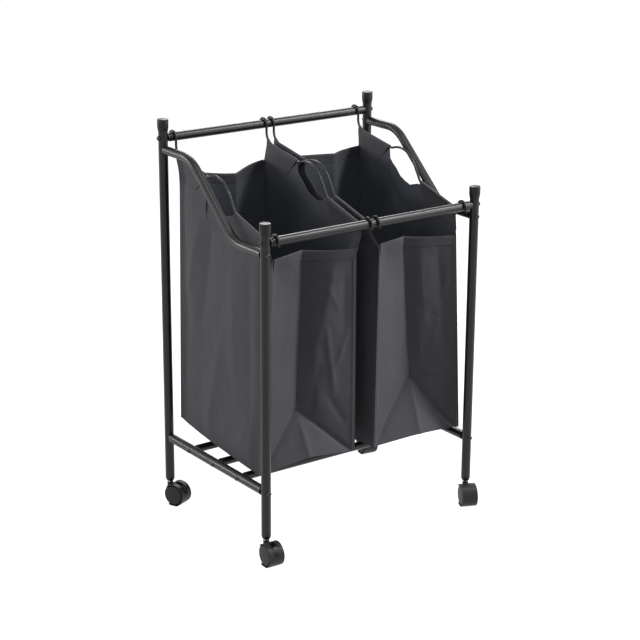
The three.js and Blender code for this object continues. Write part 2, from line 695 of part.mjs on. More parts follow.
for (const [row, ySign, height, rodZ, sideZ] of rows) {
  const tubeTop = height - CAP_TOP_THICKNESS - CLEARANCE;
  const holes = [
    { z: rodZ - uprightFoot, turn: alongX },
    { z: sideZ - uprightFoot, turn: alongY },
    { z: LOWER_RAIL_HEIGHT - uprightFoot, turn: alongY },
  ];
  const post = upright(tubeTop - uprightFoot, holes);
  const rod = crossTube(UPRIGHT_SPAN_X, ROD_DIAMETER, UPRIGHT_DIAMETER / 2, (g) => g);
  place(piece(`${row}_rod`, rod, materials.frame), 0, ySign * uprightY, rodZ);
  for (const [column, xSign] of columns) {
    const corner = `${row}_${column}`;
    const x = xSign * uprightX;
    const y = ySign * uprightY;
    place(piece(`${corner}_upright`, post, materials.frame), x, y, uprightFoot);
    place(piece(`${corner}_end_cap`, endCap(), materials.cap), x, y, height - CAP_HEIGHT);
    const rodScrew = piece(`${corner}_rod_screw`, screw(), materials.screw);
    rodScrew.rotation.y = (xSign * Math.PI) / 2;
    place(rodScrew, x + xSign * copeAtUpright, y, rodZ);
    const sideScrew = piece(`${corner}_side_tube_screw`, screw(), materials.screw);
    sideScrew.rotation.x = (-ySign * Math.PI) / 2;
    place(sideScrew, x, y + ySign * copeAtUpright, sideZ);
    const socketFoot = uprightFoot + SWAGE_HEIGHT + CLEARANCE;
    place(piece(`${corner}_stem_socket`, stemSocket(), materials.socket), x, y, socketFoot);
  }
}

for (const [column, xSign] of columns) {
  place(piece(`${column}_side_tube`, sideTube(), materials.frame), xSign * uprightX, 0, 0);
  const rail = crossTube(UPRIGHT_SPAN_Y, LOWER_TUBE_DIAMETER, UPRIGHT_DIAMETER / 2, (g) => g);
  const railMesh = piece(`${column}_lower_rail`, rail, materials.frame);
  railMesh.rotation.z = Math.PI / 2;
  place(railMesh, xSign * uprightX, 0, LOWER_RAIL_HEIGHT);
}

for (const [name, step] of [["front", -1], ["middle", 0], ["rear", 1]]) {
  const made = crossTube(UPRIGHT_SPAN_X, LOWER_TUBE_DIAMETER, LOWER_TUBE_DIAMETER / 2, alongY);
  place(piece(`${name}_bottom_bar`, made, materials.frame), 0, step * BAR_PITCH, LOWER_RAIL_HEIGHT);
}

for (const [row, ySign] of rows) {
  for (const [column, xSign] of columns) {
    const corner = `${row}_${column}`;
    const braked = BRAKED.includes(corner);
    const caster = new THREE.Group();
    caster.position.set(xSign * uprightX, ySign * uprightY, 0);
    caster.rotation.z = THREE.MathUtils.degToRad(CASTER_HEADING_DEGREES[corner]);
    frame.add(caster);
    caster.add(piece(`${corner}_caster_hood`, casterHood(braked), materials.hood));
    caster.add(piece(`${corner}_caster_stem`, stem(), materials.steel));
    const reach = CASTER_WIDTH - 2 * (WHEEL_FACE_THICKNESS + CLEARANCE);
    const axle = atAxle(alongX(bar(AXLE_DIAMETER / 2, reach, STEM_SIDES)));
    caster.add(piece(`${corner}_caster_axle`, axle, materials.steel));
    for (const [side, turn] of [["left", Math.PI], ["right", 0]]) {
      const made = wheel().rotateZ(turn);
      caster.add(piece(`${corner}_caster_${side}_wheel`, atAxle(made), materials.wheel));
    }
    if (braked) caster.add(piece(`${corner}_brake_lever`, brakeLever(), materials.hood));
  }
}

for (const [column, xSign] of columns) {
  const cloth = piece(`${column}_bag`, bag(xSign * HANGERS_SLIDE_X), materials.cloth);
  cloth.scale.x = xSign;
  frame.add(cloth);
  for (const [side, x] of [["inner", innerHangerX], ["outer", outerHangerX]]) {
    const wire = piece(`${column}_bag_${side}_hanger`, hanger(), materials.wire);
    place(wire, xSign * x + HANGERS_SLIDE_X, 0, 0);
  }
}

// The origin is the middle of the floor area that the whole hamper covers
const extent = new THREE.Box3().setFromObject(frame);
const middle = extent.getCenter(new THREE.Vector3());
frame.position.set(-middle.x, -middle.y, -extent.min.z);

export default hamper;
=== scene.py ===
"""A rolling laundry hamper: a black tube frame on twin-wheel casters with two cloth bags on wire hangers.

Lengths are millimetres from the middle of the frame, and to_row() turns them to metres in the frame's row.
"""

import math

import bpy
import numpy as np
from mathutils import Matrix, Vector, noise


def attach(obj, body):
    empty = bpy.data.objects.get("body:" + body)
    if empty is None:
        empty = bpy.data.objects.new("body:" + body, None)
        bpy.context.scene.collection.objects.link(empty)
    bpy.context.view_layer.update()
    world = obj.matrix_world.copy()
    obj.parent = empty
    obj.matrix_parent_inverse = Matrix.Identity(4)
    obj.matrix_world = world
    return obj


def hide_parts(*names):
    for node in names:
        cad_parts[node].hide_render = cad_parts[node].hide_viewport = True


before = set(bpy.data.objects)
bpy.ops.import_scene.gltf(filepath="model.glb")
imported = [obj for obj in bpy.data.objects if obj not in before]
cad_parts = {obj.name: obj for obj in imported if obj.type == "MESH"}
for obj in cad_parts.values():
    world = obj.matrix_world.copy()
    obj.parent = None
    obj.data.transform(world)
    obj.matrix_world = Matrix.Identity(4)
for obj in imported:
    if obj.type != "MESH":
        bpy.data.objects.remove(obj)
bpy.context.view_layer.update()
bpy.ops.object.select_all(action="DESELECT")

# The frame's own sizes
ROW_SHIFT = Vector((0.54, 14.375, 0.0))  # from the middle of the uprights to the row's origin
UPRIGHT_X, UPRIGHT_Y = 252.5, 178.0
FRONT_TOP, REAR_TOP = 681.5, 815.0
ROD_DROP, SIDE_TUBE_DROP = 38.0, 23.0
FRONT_ROD_Z, REAR_ROD_Z = FRONT_TOP - ROD_DROP, REAR_TOP - ROD_DROP
FRONT_SIDE_Z, REAR_SIDE_Z = FRONT_ROD_Z - SIDE_TUBE_DROP, REAR_ROD_Z - SIDE_TUBE_DROP
LOWER_Z = 146.0
BARS = {"front": -88.0, "middle": 0.0, "rear": 88.0}
UPRIGHT_R, ROD_R, SIDE_R, RAIL_R, BAR_R = 9.5, 9.0, 8.75, 9.3, 8.0
FOOT_Z = 49.0
CAP_R, CAP_HEIGHT = 11.3, 24.0
CAP_FLOOR = 4.0  # from a cap's top down to the end of its tube
END_GAP = 0.1  # between a tube's end and the tube that it meets
SCREW_SEAT = 9.8  # from an upright's axis to a screw head's seat
BAR_SCREW_SINK = 0.6  # how deep the bottom bars' screws seat in the lower rails
SLOPE_RUN = 76.0  # half the length of a side tube's slope
SIDE_BEND = 75.0
SIDE_INSET = 9.0  # a side tube ends this far short of the uprights' axes

WIRE_R = 2.5
HOOK_R = 11.8  # from a rod's axis to the middle of the wire round it
HOOK_TIP = 9.0  # a hook's tip ends this far below the rod's axis
HANGER_X = {"left": {"inner": 14.0, "outer": 230.0}, "right": {"inner": 4.0, "outer": 220.0}}

AXLE_Z, TRAIL = 22.5, 17.5
TYRE_R, HOOD_R, HOOD_WALL = 22.5, 22.2, 2.6
CASTER_HALF, HOOD_HALF, WEB_HALF = 16.0, 12.4, 2.4
TREAD_INNER = 20.0  # the wheel's disc ends inside the tread
SKIN_HALF, SKIN_INNER, SKIN_R = 16.2, 22.8, 24.0  # the hood's skin over both wheels
HOOD_FROM, HOOD_SWEEP = 300, 258  # degrees, from below the stem back to 42 over the top
HUB_R = 6.5
BOSS_R, BOSS_TOP = 6.2, 46.5
SLOT_HALF, SLOT_FROM, SLOT_SWEEP = 6.0, 140, 58  # the opening for the lever, in degrees as above
ARM_WAY_HALF, ARM_WAY_INNER, ARM_WAY_FROM, ARM_WAY_SWEEP = 3.4, 14.5, 141, 56
HOLE_ANGLE = math.radians(120)  # of the small hole above the slot
# The lever's pad, its ribs, its pivot and the arm from there to the pad
PAD_HALF, PAD_INNER, PAD_OUTER = 5.0, HOOD_R + 1.0, HOOD_R + 2.6
PAD_FROM, PAD_SWEEP = 150, 26
RIB_COUNT, RIB_HALF, RIB_INNER, RIB_OUTER = 5, 4.4, HOOD_R + 2.0, HOOD_R + 2.95
RIB_FROM, RIB_STEP, RIB_SWEEP = 153, 4.6, 1.7
PIVOT_R, PIVOT_WIDTH = 3.2, 2.4
ARM_X, ARM_WIDTH, ARM_DEPTH, ARM_ANGLE = 0.9, 2.3, 3.8, math.radians(163)
LEVER_PIVOT = (-13.0 * math.cos(math.radians(30)), 6.5)  # Y and Z from the axle
CASTERS = {  # heading in degrees, braked
    "front_left": (-2.5, True),
    "rear_left": (23.5, True),
    "front_right": (-24.0, False),
    "rear_right": (-8.0, False),
}
COLUMNS = {"left": -1, "right": 1}
ROWS = {"front": -1, "rear": 1}


def to_row(place):
    return (Vector(place) + ROW_SHIFT) / 1000.0


def new_object(name, data):
    made = bpy.data.objects.new(name, data)
    bpy.context.scene.collection.objects.link(made)
    return made


# ---- Camera: fitted to the uprights, rods and rails in the picture
AZIMUTH, ELEVATION, ROLL = (math.radians(a) for a in (-36.02, 17.98, 0.34))
camera_data = bpy.data.cameras.new("camera")
camera_data.sensor_width, camera_data.lens = 36.0, 102.68
camera = new_object("camera", camera_data)
forward = Vector((
    -math.sin(AZIMUTH) * math.cos(ELEVATION),
    math.cos(AZIMUTH) * math.cos(ELEVATION),
    -math.sin(ELEVATION),
))
level = forward.cross(Vector((0, 0, 1))).normalized()
above = level.cross(forward)
right = level * math.cos(ROLL) + above * math.sin(ROLL)
upward = above * math.cos(ROLL) - level * math.sin(ROLL)
facing = Matrix((right, upward, -forward)).transposed().to_4x4()
camera.matrix_world = Matrix.Translation((-2.07496, -2.84403, 1.5470)) @ facing
bpy.context.scene.camera = camera
bpy.context.scene.view_settings.view_transform = "Standard"


# ---- Materials
def srgb(code):
    """A hex colour as linear RGBA."""
    parts = [int(code[i:i + 2], 16) / 255 for i in (1, 3, 5)]
    return (*[c / 12.92 if c <= 0.04045 else ((c + 0.055) / 1.055) ** 2.4 for c in parts], 1.0)


def node(tree, kind, links=(), **settings):
    """Adds a shader node. Settings are sockets or properties, links are (own socket, node, its socket)."""
    made = tree.nodes.new(f"ShaderNode{kind}")
    for key, value in settings.items():
        name = key.replace("_", " ")
        if name in made.inputs:
            made.inputs[name].default_value = value
        else:
            setattr(made, key, value)
    for own, other, theirs in links:
        tree.links.new(other.outputs[theirs], made.inputs[own])
    return made


def new_material(name):
    made = bpy.data.materials.new(name)
    made.use_nodes = True
    made.node_tree.nodes.clear()
    return made, made.node_tree


ROUGHNESS_SPREAD = 0.05


def noise_of(tree, place, space, size_mm, detail):
    """Noise whose blotches are about so many millimetres wide."""
    return node(tree, "TexNoise", [("Vector", place, space)], Scale=1000 / size_mm, Detail=detail)


def blended(tree, factor, light, dark):
    """The dark colour where the factor is 0 and the light one where it is 1."""
    made = node(tree, "Mix", [("Factor", factor, "Fac")], data_type="RGBA")
    made.inputs[6].default_value, made.inputs[7].default_value = srgb(dark), srgb(light)
    return made


def lay_finish(tree, colour, colour_socket, rough, bump, **shader):
    links = [("Base Color", colour, colour_socket), ("Roughness", rough, "Result"), ("Normal", bump, 0)]
    surface = node(tree, "BsdfPrincipled", links, **shader)
    node(tree, "OutputMaterial", [("Surface", surface, "BSDF")])


def finished_with(name, light, dark, blotch_mm, grain_mm, grain_height_mm, roughness, **shader):
    """A coating or moulding: blotchy colour and roughness over a fine grain of the given height."""
    made, tree = new_material(name)
    place = node(tree, "TexCoord")
    blotch = noise_of(tree, place, "Object", blotch_mm, 3.0)
    grain = noise_of(tree, place, "Object", grain_mm, 2.0)
    spread_to = {"To_Min": roughness - ROUGHNESS_SPREAD, "To_Max": roughness + ROUGHNESS_SPREAD}
    rough = node(tree, "MapRange", [("Value", blotch, "Fac")], **spread_to)
    bump = node(tree, "Bump", [("Height", grain, "Fac")], Distance=grain_height_mm / 1000, Strength=1.0)
    lay_finish(tree, blended(tree, blotch, light, dark), 2, rough, bump, **shader)
    return made


# Black powder coat on steel tube: a semi-gloss skin with a faint orange peel, drawn coarser than real
POWDER_COAT = finished_with(
    "black_powder_coat", "#131315", "#0e0e10", 60, 3.0, 0.0007, 0.34, IOR=1.52, Specular_IOR_Level=0.29,
)
# Vinyl-dipped wire: smoother and glossier than the tubes
COATED_WIRE = finished_with(
    "dipped_wire", "#151517", "#0f0f11", 30, 2.5, 0.0007, 0.3, IOR=1.5, Specular_IOR_Level=0.3
)
# Moulded polypropylene caps: satin with a fine spark-eroded grain
CAP_PLASTIC = finished_with(
    "moulded_cap", "#1d1d1f", "#151517", 20, 0.9, 0.02, 0.36, IOR=1.49, Specular_IOR_Level=0.22
)
# Blackened steel screws: dark metal that still catches a bright rim
BLACK_SCREW = finished_with("blackened_screw", "#48484a", "#343436", 6, 0.8, 0.006, 0.28, Metallic=1.0)
# Moulded nylon caster housings: dark grey, satin, lightly textured
CASTER_NYLON = finished_with(
    "moulded_nylon", "#272729", "#1d1d1e", 18, 0.8, 0.025, 0.44, IOR=1.53, Specular_IOR_Level=0.2
)
# Wheels: harder nylon, scuffed matt where they roll
WHEEL_NYLON = finished_with(
    "rolled_nylon", "#232325", "#19191a", 12, 1.1, 0.03, 0.5, IOR=1.53, Specular_IOR_Level=0.2
)
# The soft tread round each wheel: dull and nearly black
TREAD = finished_with(
    "soft_tread", "#131314", "#0b0b0c", 12, 1.5, 0.01, 0.7, IOR=1.5, Specular_IOR_Level=0.08
)
# Zinc-plated caster stems: bright, faintly brushed by turning
ZINC = finished_with("zinc_plated_steel", "#cfd1d3", "#b4b6b9", 8, 0.5, 0.006, 0.26, Metallic=1.0)
# Polyester sewing thread, a shade lighter than the cloth
THREAD = finished_with(
    "sewing_thread", "#5e5e63", "#4c4c51", 5, 0.4, 0.03, 0.6, IOR=1.5, Specular_IOR_Level=0.3
)

WEAVE_MM = 1.3  # threads are about 0.5 mm apart, drawn coarser so that they show
SLUB_MM, PATCH_MM = 5.0, 90.0


def bag_cloth(name, light, dark, weave_height_mm):
    """Oxford polyester: a plain weave with a soft sheen, uneven dye and rubbed patches."""
    made, tree = new_material(name)
    place = node(tree, "TexCoord")
    warp, weft = (
        node(
            tree, "TexWave", [("Vector", place, "UV")], wave_type="BANDS", bands_direction=axis,
            wave_profile="SIN", Scale=1000 / WEAVE_MM / 20 * math.pi, Distortion=0.6, Detail=1.0,
        )
        for axis in ("X", "Y")
    )
    weave = node(tree, "Math", [(0, warp, "Fac"), (1, weft, "Fac")], operation="MULTIPLY")
    slub = noise_of(tree, place, "UV", SLUB_MM, 3.0)
    patch = noise_of(tree, place, "Object", PATCH_MM, 4.0)
    height = node(tree, "Math", [(0, weave, 0), (1, slub, "Fac")], operation="ADD")
    gaps = node(tree, "MapRange", [("Value", weave, 0)], To_Min=0.82, To_Max=1.12)
    dye = blended(tree, patch, light, dark)
    threads = node(tree, "HueSaturation", [("Color", dye, 2), ("Value", gaps, "Result")])
    rough = node(tree, "MapRange", [("Value", patch, "Fac")], To_Min=0.62, To_Max=0.78)
    bump = node(tree, "Bump", [("Height", height, 0)], Distance=weave_height_mm / 1000, Strength=0.7)
    lay_finish(
        tree, threads, "Color", rough, bump,
        Sheen_Weight=0.05, Sheen_Roughness=0.5, IOR=1.45, Specular_IOR_Level=0.22,
    )
    return made


CLOTH = bag_cloth("charcoal_oxford_polyester", "#49494e", "#3c3c40", 0.12)
# The coated inner face: smoother, paler and a little blue. Its paler, bluer tone is partly painted light,
# standing in for light that reaches inside the bags.
LINING_WITH_PAINTED_LIGHT = bag_cloth("coated_oxford_with_painted_light", "#4a4e56", "#40434a", 0.05)


# ---- Making pieces
def edit():
    bpy.ops.object.mode_set(mode="EDIT")
    bpy.ops.mesh.select_all(action="SELECT")


def leave_edit():
    bpy.ops.object.mode_set(mode="OBJECT")


def only(piece):
    """Selects one piece and makes it active."""
    bpy.ops.object.select_all(action="DESELECT")
    piece.select_set(True)
    bpy.context.view_layer.objects.active = piece


def modify(piece, kind, **settings):
    only(piece)
    modifier = piece.modifiers.new(kind.lower(), kind)
    for key, value in settings.items():
        setattr(modifier, key, value)
    bpy.ops.object.modifier_apply(modifier=modifier.name)


def close_and_smooth(piece, bevel=0.0, angle=32):
    """Closes any open end, turns the faces outwards, rounds sharp edges and shades by angle."""
    only(piece)
    edit()
    bpy.ops.mesh.remove_doubles(threshold=1e-6)
    bpy.ops.mesh.select_all(action="DESELECT")
    bpy.ops.mesh.select_non_manifold(extend=False)
    bpy.ops.mesh.fill_holes(sides=0)
    bpy.ops.mesh.select_all(action="SELECT")
    bpy.ops.mesh.normals_make_consistent(inside=False)
    leave_edit()
    if bevel:
        modify(
            piece, "BEVEL", width=bevel / 1000, segments=2, limit_method="ANGLE",
            angle_limit=math.radians(angle), harden_normals=False,
        )
    only(piece)
    bpy.ops.object.shade_smooth_by_angle(angle=math.radians(angle))


def turned(name, stations, sides=48):
    """A piece turned about Z: a disc extruded and scaled from one (radius, height) to the next."""
    radius, height = stations[0]
    bpy.ops.mesh.primitive_circle_add(
        vertices=sides, radius=radius / 1000, fill_type="NGON", location=(0, 0, height / 1000)
    )
    piece = bpy.context.object
    piece.name = name
    edit()
    for next_radius, next_height in stations[1:]:
        bpy.ops.mesh.extrude_region_move(
            TRANSFORM_OT_translate={"value": (0, 0, (next_height - height) / 1000)}
        )
        if next_radius != radius:
            share = next_radius / radius
            bpy.ops.transform.resize(value=(share, share, 1), center_override=(0, 0, next_height / 1000))
        radius, height = next_radius, next_height
    leave_edit()
    only(piece)
    bpy.ops.object.transform_apply(location=True, rotation=False, scale=False)
    close_and_smooth(piece)
    return piece


def bent_tube(name, route, radius, sides):
    """A round bar or tube bent along a route of (x, y, z) points."""
    data = bpy.data.curves.new(name, "CURVE")
    data.dimensions = "3D"
    data.bevel_depth = radius / 1000
    data.bevel_resolution = sides // 4 - 1
    data.use_fill_caps = True
    line = data.splines.new("POLY")
    line.points.add(len(route) - 1)
    for point, place in zip(line.points, route):
        point.co = (*(Vector(place) / 1000), 1)
    piece = new_object(name, data)
    only(piece)
    bpy.ops.object.convert(target="MESH")
    close_and_smooth(piece, angle=40)
    return piece


def swept_block(name, half_width, inner, outer, start, sweep, steps):
    """A block with a (X, radius) section, spun about X from its start angle down to lower ones.

    Angles are in degrees from +Y towards +Z.
    """
    bpy.ops.mesh.primitive_plane_add(size=2, location=(0, 0, 0))
    piece = bpy.context.object
    piece.name = name
    edit()
    middle, half = (inner + outer) / 2000, (outer - inner) / 2000
    bpy.ops.transform.resize(value=(half_width / 1000, half, 1), center_override=(0, 0, 0))
    bpy.ops.transform.translate(value=(0, middle, 0))
    leave_edit()
    piece.data.transform(Matrix.Rotation(math.radians(start), 4, "X"))
    edit()
    bpy.ops.mesh.spin(
        steps=steps, angle=math.radians(sweep), center=(0, 0, 0), axis=(1, 0, 0), dupli=False
    )
    leave_edit()
    close_and_smooth(piece)
    return piece


def round_bar(radius, length, place, turn=(0, 0, 0), sides=24):
    bpy.ops.mesh.primitive_cylinder_add(
        vertices=sides, radius=radius / 1000, depth=length / 1000,
        location=Vector(place) / 1000, rotation=turn,
    )
    return bpy.context.object


def boolean(piece, tool, operation):
    modify(piece, "BOOLEAN", object=tool, operation=operation, solver="EXACT")
    bpy.data.objects.remove(tool, do_unlink=True)


def copy_of(piece, name):
    return new_object(name, piece.data.copy())


def put(piece, place, turn=Matrix.Identity(4)):
    """Moves a finished piece's mesh to its place, after a turn about its own origin."""
    piece.data.transform(Matrix.Translation(to_row(place)) @ turn)
    return piece


def belongs(piece, body, material, slot, *nodes):
    """Gives a piece its finish and body, and hides the CAD solids that it stands for. The slot is not used.
    Wheels have their finishes.
    """
    if material:
        piece.data.materials.clear()
        piece.data.materials.append(material)
    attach(piece, body)
    if nodes:
        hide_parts(*nodes)


# Turns that lay a piece's own Z axis along X or Y, towards the sign
TOWARDS_X = {sign: Matrix.Rotation(sign * math.pi / 2, 4, "Y") for sign in (-1, 1)}
TOWARDS_Y = {sign: Matrix.Rotation(-sign * math.pi / 2, 4, "X") for sign in (-1, 1)}


def rounded_route(corners, radii, steps):
    """Points along straight runs joined by arcs of so many steps. Corners are (y, z)."""
    points = [Vector(c) for c in corners]
    route = [points[0]]
    for radius, before, corner, after in zip(radii, points, points[1:], points[2:]):
        back, on = (before - corner).normalized(), (after - corner).normalized()
        half = back.angle(on) / 2
        centre = corner + (back + on).normalized() * (radius / math.sin(half))
        first, last = corner + back * radius / math.tan(half), corner + on * radius / math.tan(half)
        turn = (first - centre).angle_signed(last - centre)
        for k in range(steps + 1):
            angle = -turn * k / steps
            arm = first - centre
            arm = Vector((
                arm.x * math.cos(angle) - arm.y * math.sin(angle),
                arm.x * math.sin(angle) + arm.y * math.cos(angle),
            ))
            if (centre + arm - route[-1]).length > 0.05:
                route.append(centre + arm)
    route.append(points[-1])
    return route


# ---- Frame
def make_upright(height):
    """A tube whose foot narrows to an open rim."""
    rim, bore = 7.2, 5.9
    return turned("upright", [
        (bore, 5.0), (bore, 0.4), (rim - 0.5, 0.0), (rim, 0.4), (7.9, 1.8), (8.8, 3.8), (9.3, 5.2),
        (UPRIGHT_R, 7.0), (UPRIGHT_R, height),
    ])


def make_cap():
    return turned("cap", [
        (9.55, 0.0), (9.95, 0.3), (10.15, 1.6), (10.6, 4.4), (11.05, 7.2), (11.25, 9.0), (CAP_R, 11.0),
        (CAP_R, CAP_HEIGHT - 1.3), (11.1, CAP_HEIGHT - 0.6), (10.6, CAP_HEIGHT - 0.15), (10.0, CAP_HEIGHT),
    ])


def make_cross_tube(half_length, radius, neck, neck_length):
    """A tube along Z whose ends narrow to the saddle that seats against the upright."""
    end = half_length - neck_length
    profile = [(neck, half_length), (neck, end), (radius - 0.5, end), (radius, end - 0.5)]
    return turned("cross_tube", [(r, -z) for r, z in profile] + profile[::-1])


def make_screw():
    """A domed screw head with a hexagon socket."""
    head = turned("screw", [
        (2.4, -1.0), (4.4, 0.0), (4.8, 0.4), (4.8, 1.2), (4.4, 2.1), (3.4, 2.85), (2.8, 3.1),
    ])
    boolean(head, round_bar(2.3, 4.0, (0, 0, 3.0), sides=6), "DIFFERENCE")
    close_and_smooth(head, bevel=0.12, angle=35)
    return head


def drive_screw(name, place, turn, *nodes):
    made = put(copy_of(screw, name), place, turn)
    belongs(made, "frame", BLACK_SCREW, "screw_steel", *nodes)


def fit_tube(pattern, name, place, turn, node_name):
    made = put(copy_of(pattern, name), place, turn)
    belongs(made, "frame", POWDER_COAT, "frame_paint", node_name)


screw = make_screw()
cap = make_cap()
rod = make_cross_tube(UPRIGHT_X - UPRIGHT_R - END_GAP, ROD_R, 7.6, 4.5)
lower_rail = make_cross_tube(UPRIGHT_Y - UPRIGHT_R - END_GAP, RAIL_R, 8.2, 1.6)
bottom_bar = make_cross_tube(UPRIGHT_X - RAIL_R - END_GAP, BAR_R, 7.2, 1.6)

for row, y_sign in ROWS.items():
    top, rod_z, side_z = (
        (FRONT_TOP, FRONT_ROD_Z, FRONT_SIDE_Z) if row == "front" else (REAR_TOP, REAR_ROD_Z, REAR_SIDE_Z)
    )
    upright = make_upright(top - CAP_FLOOR - FOOT_Z)
    y = y_sign * UPRIGHT_Y
    fit_tube(rod, f"{row}_hanging_rod", (0, y, rod_z), TOWARDS_X[1], f"{row}_rod")
    for column, x_sign in COLUMNS.items():
        corner, x = f"{row}_{column}", x_sign * UPRIGHT_X
        fit_tube(upright, f"{corner}_post", (x, y, FOOT_Z), Matrix.Identity(4), f"{corner}_upright")
        top_cap = put(copy_of(cap, f"{corner}_cap"), (x, y, top - CAP_HEIGHT))
        belongs(top_cap, "frame", CAP_PLASTIC, "cap_plastic", f"{corner}_end_cap")
        seat_x, seat_y, turn_y = x + x_sign * SCREW_SEAT, y + y_sign * SCREW_SEAT, TOWARDS_Y[y_sign]
        drive_screw(f"{corner}_rod_bolt", (seat_x, y, rod_z), TOWARDS_X[x_sign], f"{corner}_rod_screw")
        drive_screw(f"{corner}_side_bolt", (x, seat_y, side_z), turn_y, f"{corner}_side_tube_screw")
        drive_screw(f"{corner}_rail_bolt", (x, seat_y, LOWER_Z), turn_y)
    bpy.data.objects.remove(upright)

SIDE_ROUTE = rounded_route(
    [
        (UPRIGHT_Y - SIDE_INSET, REAR_SIDE_Z), (SLOPE_RUN, REAR_SIDE_Z),
        (-SLOPE_RUN, FRONT_SIDE_Z), (-UPRIGHT_Y + SIDE_INSET, FRONT_SIDE_Z),
    ],
    (SIDE_BEND, SIDE_BEND), 20,
)
for column, x_sign in COLUMNS.items():
    x = x_sign * UPRIGHT_X
    tube = bent_tube(f"{column}_rail", [(0, p.x, p.y) for p in SIDE_ROUTE], SIDE_R, 40)
    belongs(put(tube, (x, 0, 0)), "frame", POWDER_COAT, "frame_paint", f"{column}_side_tube")
    fit_tube(lower_rail, f"{column}_foot_rail", (x, 0, LOWER_Z), TOWARDS_Y[1], f"{column}_lower_rail")
    seat = x + x_sign * (RAIL_R - BAR_SCREW_SINK)
    for name, bar_y in BARS.items():
        drive_screw(f"{column}_{name}_bar_bolt", (seat, bar_y, LOWER_Z), TOWARDS_X[x_sign])
for name, bar_y in BARS.items():
    fit_tube(bottom_bar, f"{name}_floor_bar", (0, bar_y, LOWER_Z), TOWARDS_X[1], f"{name}_bottom_bar")
for spare in (screw, cap, rod, lower_rail, bottom_bar):
    bpy.data.objects.remove(spare)


# ---- Casters. Their pieces are made round the axle, with X along it
def make_wheel():
    """The wheel on the +X side: a tread ring and a flank that falls in from it round a domed disc."""
    made = turned("wheel", [
        (18.4, 2.9), (18.4, 12.9), (21.9, 12.9), (22.3, 13.0), (TYRE_R, 13.2), (TYRE_R, 13.6), (22.2, 13.9),
        (20.2, 14.0), (19.9, 14.9), (19.5, 15.4), (18.6, 15.7), (12.0, 15.9), (3.0, CASTER_HALF),
    ], sides=64)
    for material in (WHEEL_NYLON, TREAD):
        made.data.materials.append(material)
    for face in made.data.polygons:
        face.material_index = int(face.center.xy.length > TREAD_INNER / 1000)
    return made


def make_hood(braked):
    """A skin as wide as both wheels on a narrower arch, a web between them and the boss for the stem."""
    arc = (HOOD_FROM, HOOD_SWEEP, 48)
    hood = swept_block("hood", HOOD_HALF, HOOD_R - HOOD_WALL, SKIN_INNER + 0.4, *arc)
    boolean(hood, swept_block("skin", SKIN_HALF, SKIN_INNER, SKIN_R, *arc), "UNION")
    boolean(hood, swept_block("web", WEB_HALF, 3.0, HOOD_R - 1, *arc), "UNION")
    along_x = (0, math.pi / 2, 0)
    boolean(hood, round_bar(HUB_R, 2 * WEB_HALF, (0, 0, 0), along_x, 32), "UNION")
    boss_height = BOSS_TOP - AXLE_Z
    boss = turned("boss", [(BOSS_R, 12.0), (BOSS_R, boss_height - 0.6), (BOSS_R - 0.6, boss_height)], 32)
    boss.data.transform(Matrix.Translation((0, TRAIL / 1000, 0)))
    boolean(hood, boss, "UNION")
    if braked:
        slot_inner = HOOD_R - HOOD_WALL - 0.4
        slot = swept_block("slot", SLOT_HALF, slot_inner, HOOD_R + 3, SLOT_FROM, SLOT_SWEEP, 14)
        boolean(hood, slot, "DIFFERENCE")
        arm_way = swept_block(
            "arm_way", ARM_WAY_HALF, ARM_WAY_INNER, HOOD_R + 2, ARM_WAY_FROM, ARM_WAY_SWEEP, 14
        )
        boolean(hood, arm_way, "DIFFERENCE")
        hole_at = (0, HOOD_R * math.cos(HOLE_ANGLE), HOOD_R * math.sin(HOLE_ANGLE))
        boolean(hood, round_bar(1.6, 6.0, hole_at, (HOLE_ANGLE + math.pi / 2, 0, 0), 20), "DIFFERENCE")
    close_and_smooth(hood, bevel=0.4, angle=38)
    return hood


def make_lever():
    """Brake lever: a pad and ribs round the hood, and an arm that turns on a pin in the web."""
    pad = swept_block("lever", PAD_HALF, PAD_INNER, PAD_OUTER, PAD_FROM, PAD_SWEEP, 10)
    for k in range(RIB_COUNT):
        rib = swept_block("rib", RIB_HALF, RIB_INNER, RIB_OUTER, RIB_FROM + RIB_STEP * k, RIB_SWEEP, 2)
        boolean(pad, rib, "UNION")
    y, z = LEVER_PIVOT
    boolean(pad, round_bar(PIVOT_R, PIVOT_WIDTH, (ARM_X, y, z), (0, math.pi / 2, 0)), "UNION")
    end = Vector((math.cos(ARM_ANGLE), math.sin(ARM_ANGLE))) * RIB_INNER
    arm = end - Vector(LEVER_PIVOT)
    bpy.ops.mesh.primitive_cube_add(
        size=1, location=Vector((ARM_X, (y + end.x) / 2, (z + end.y) / 2)) / 1000,
        rotation=(math.atan2(arm.y, arm.x), 0, 0), scale=Vector((ARM_WIDTH, arm.length, ARM_DEPTH)) / 1000,
    )
    boolean(pad, bpy.context.object, "UNION")
    close_and_smooth(pad, bevel=0.25, angle=35)
    return pad


def make_stem():
    """The stem with its flange, from inside the boss up into the upright."""
    return turned("stem", [
        (3.9, BOSS_TOP - 7.0), (3.9, BOSS_TOP + 0.2), (5.2, BOSS_TOP + 0.2), (5.5, BOSS_TOP + 0.5),
        (5.5, BOSS_TOP + 2.0), (5.2, BOSS_TOP + 2.4), (4.0, BOSS_TOP + 2.4), (4.0, 84.0), (3.0, 85.5),
    ], 32)


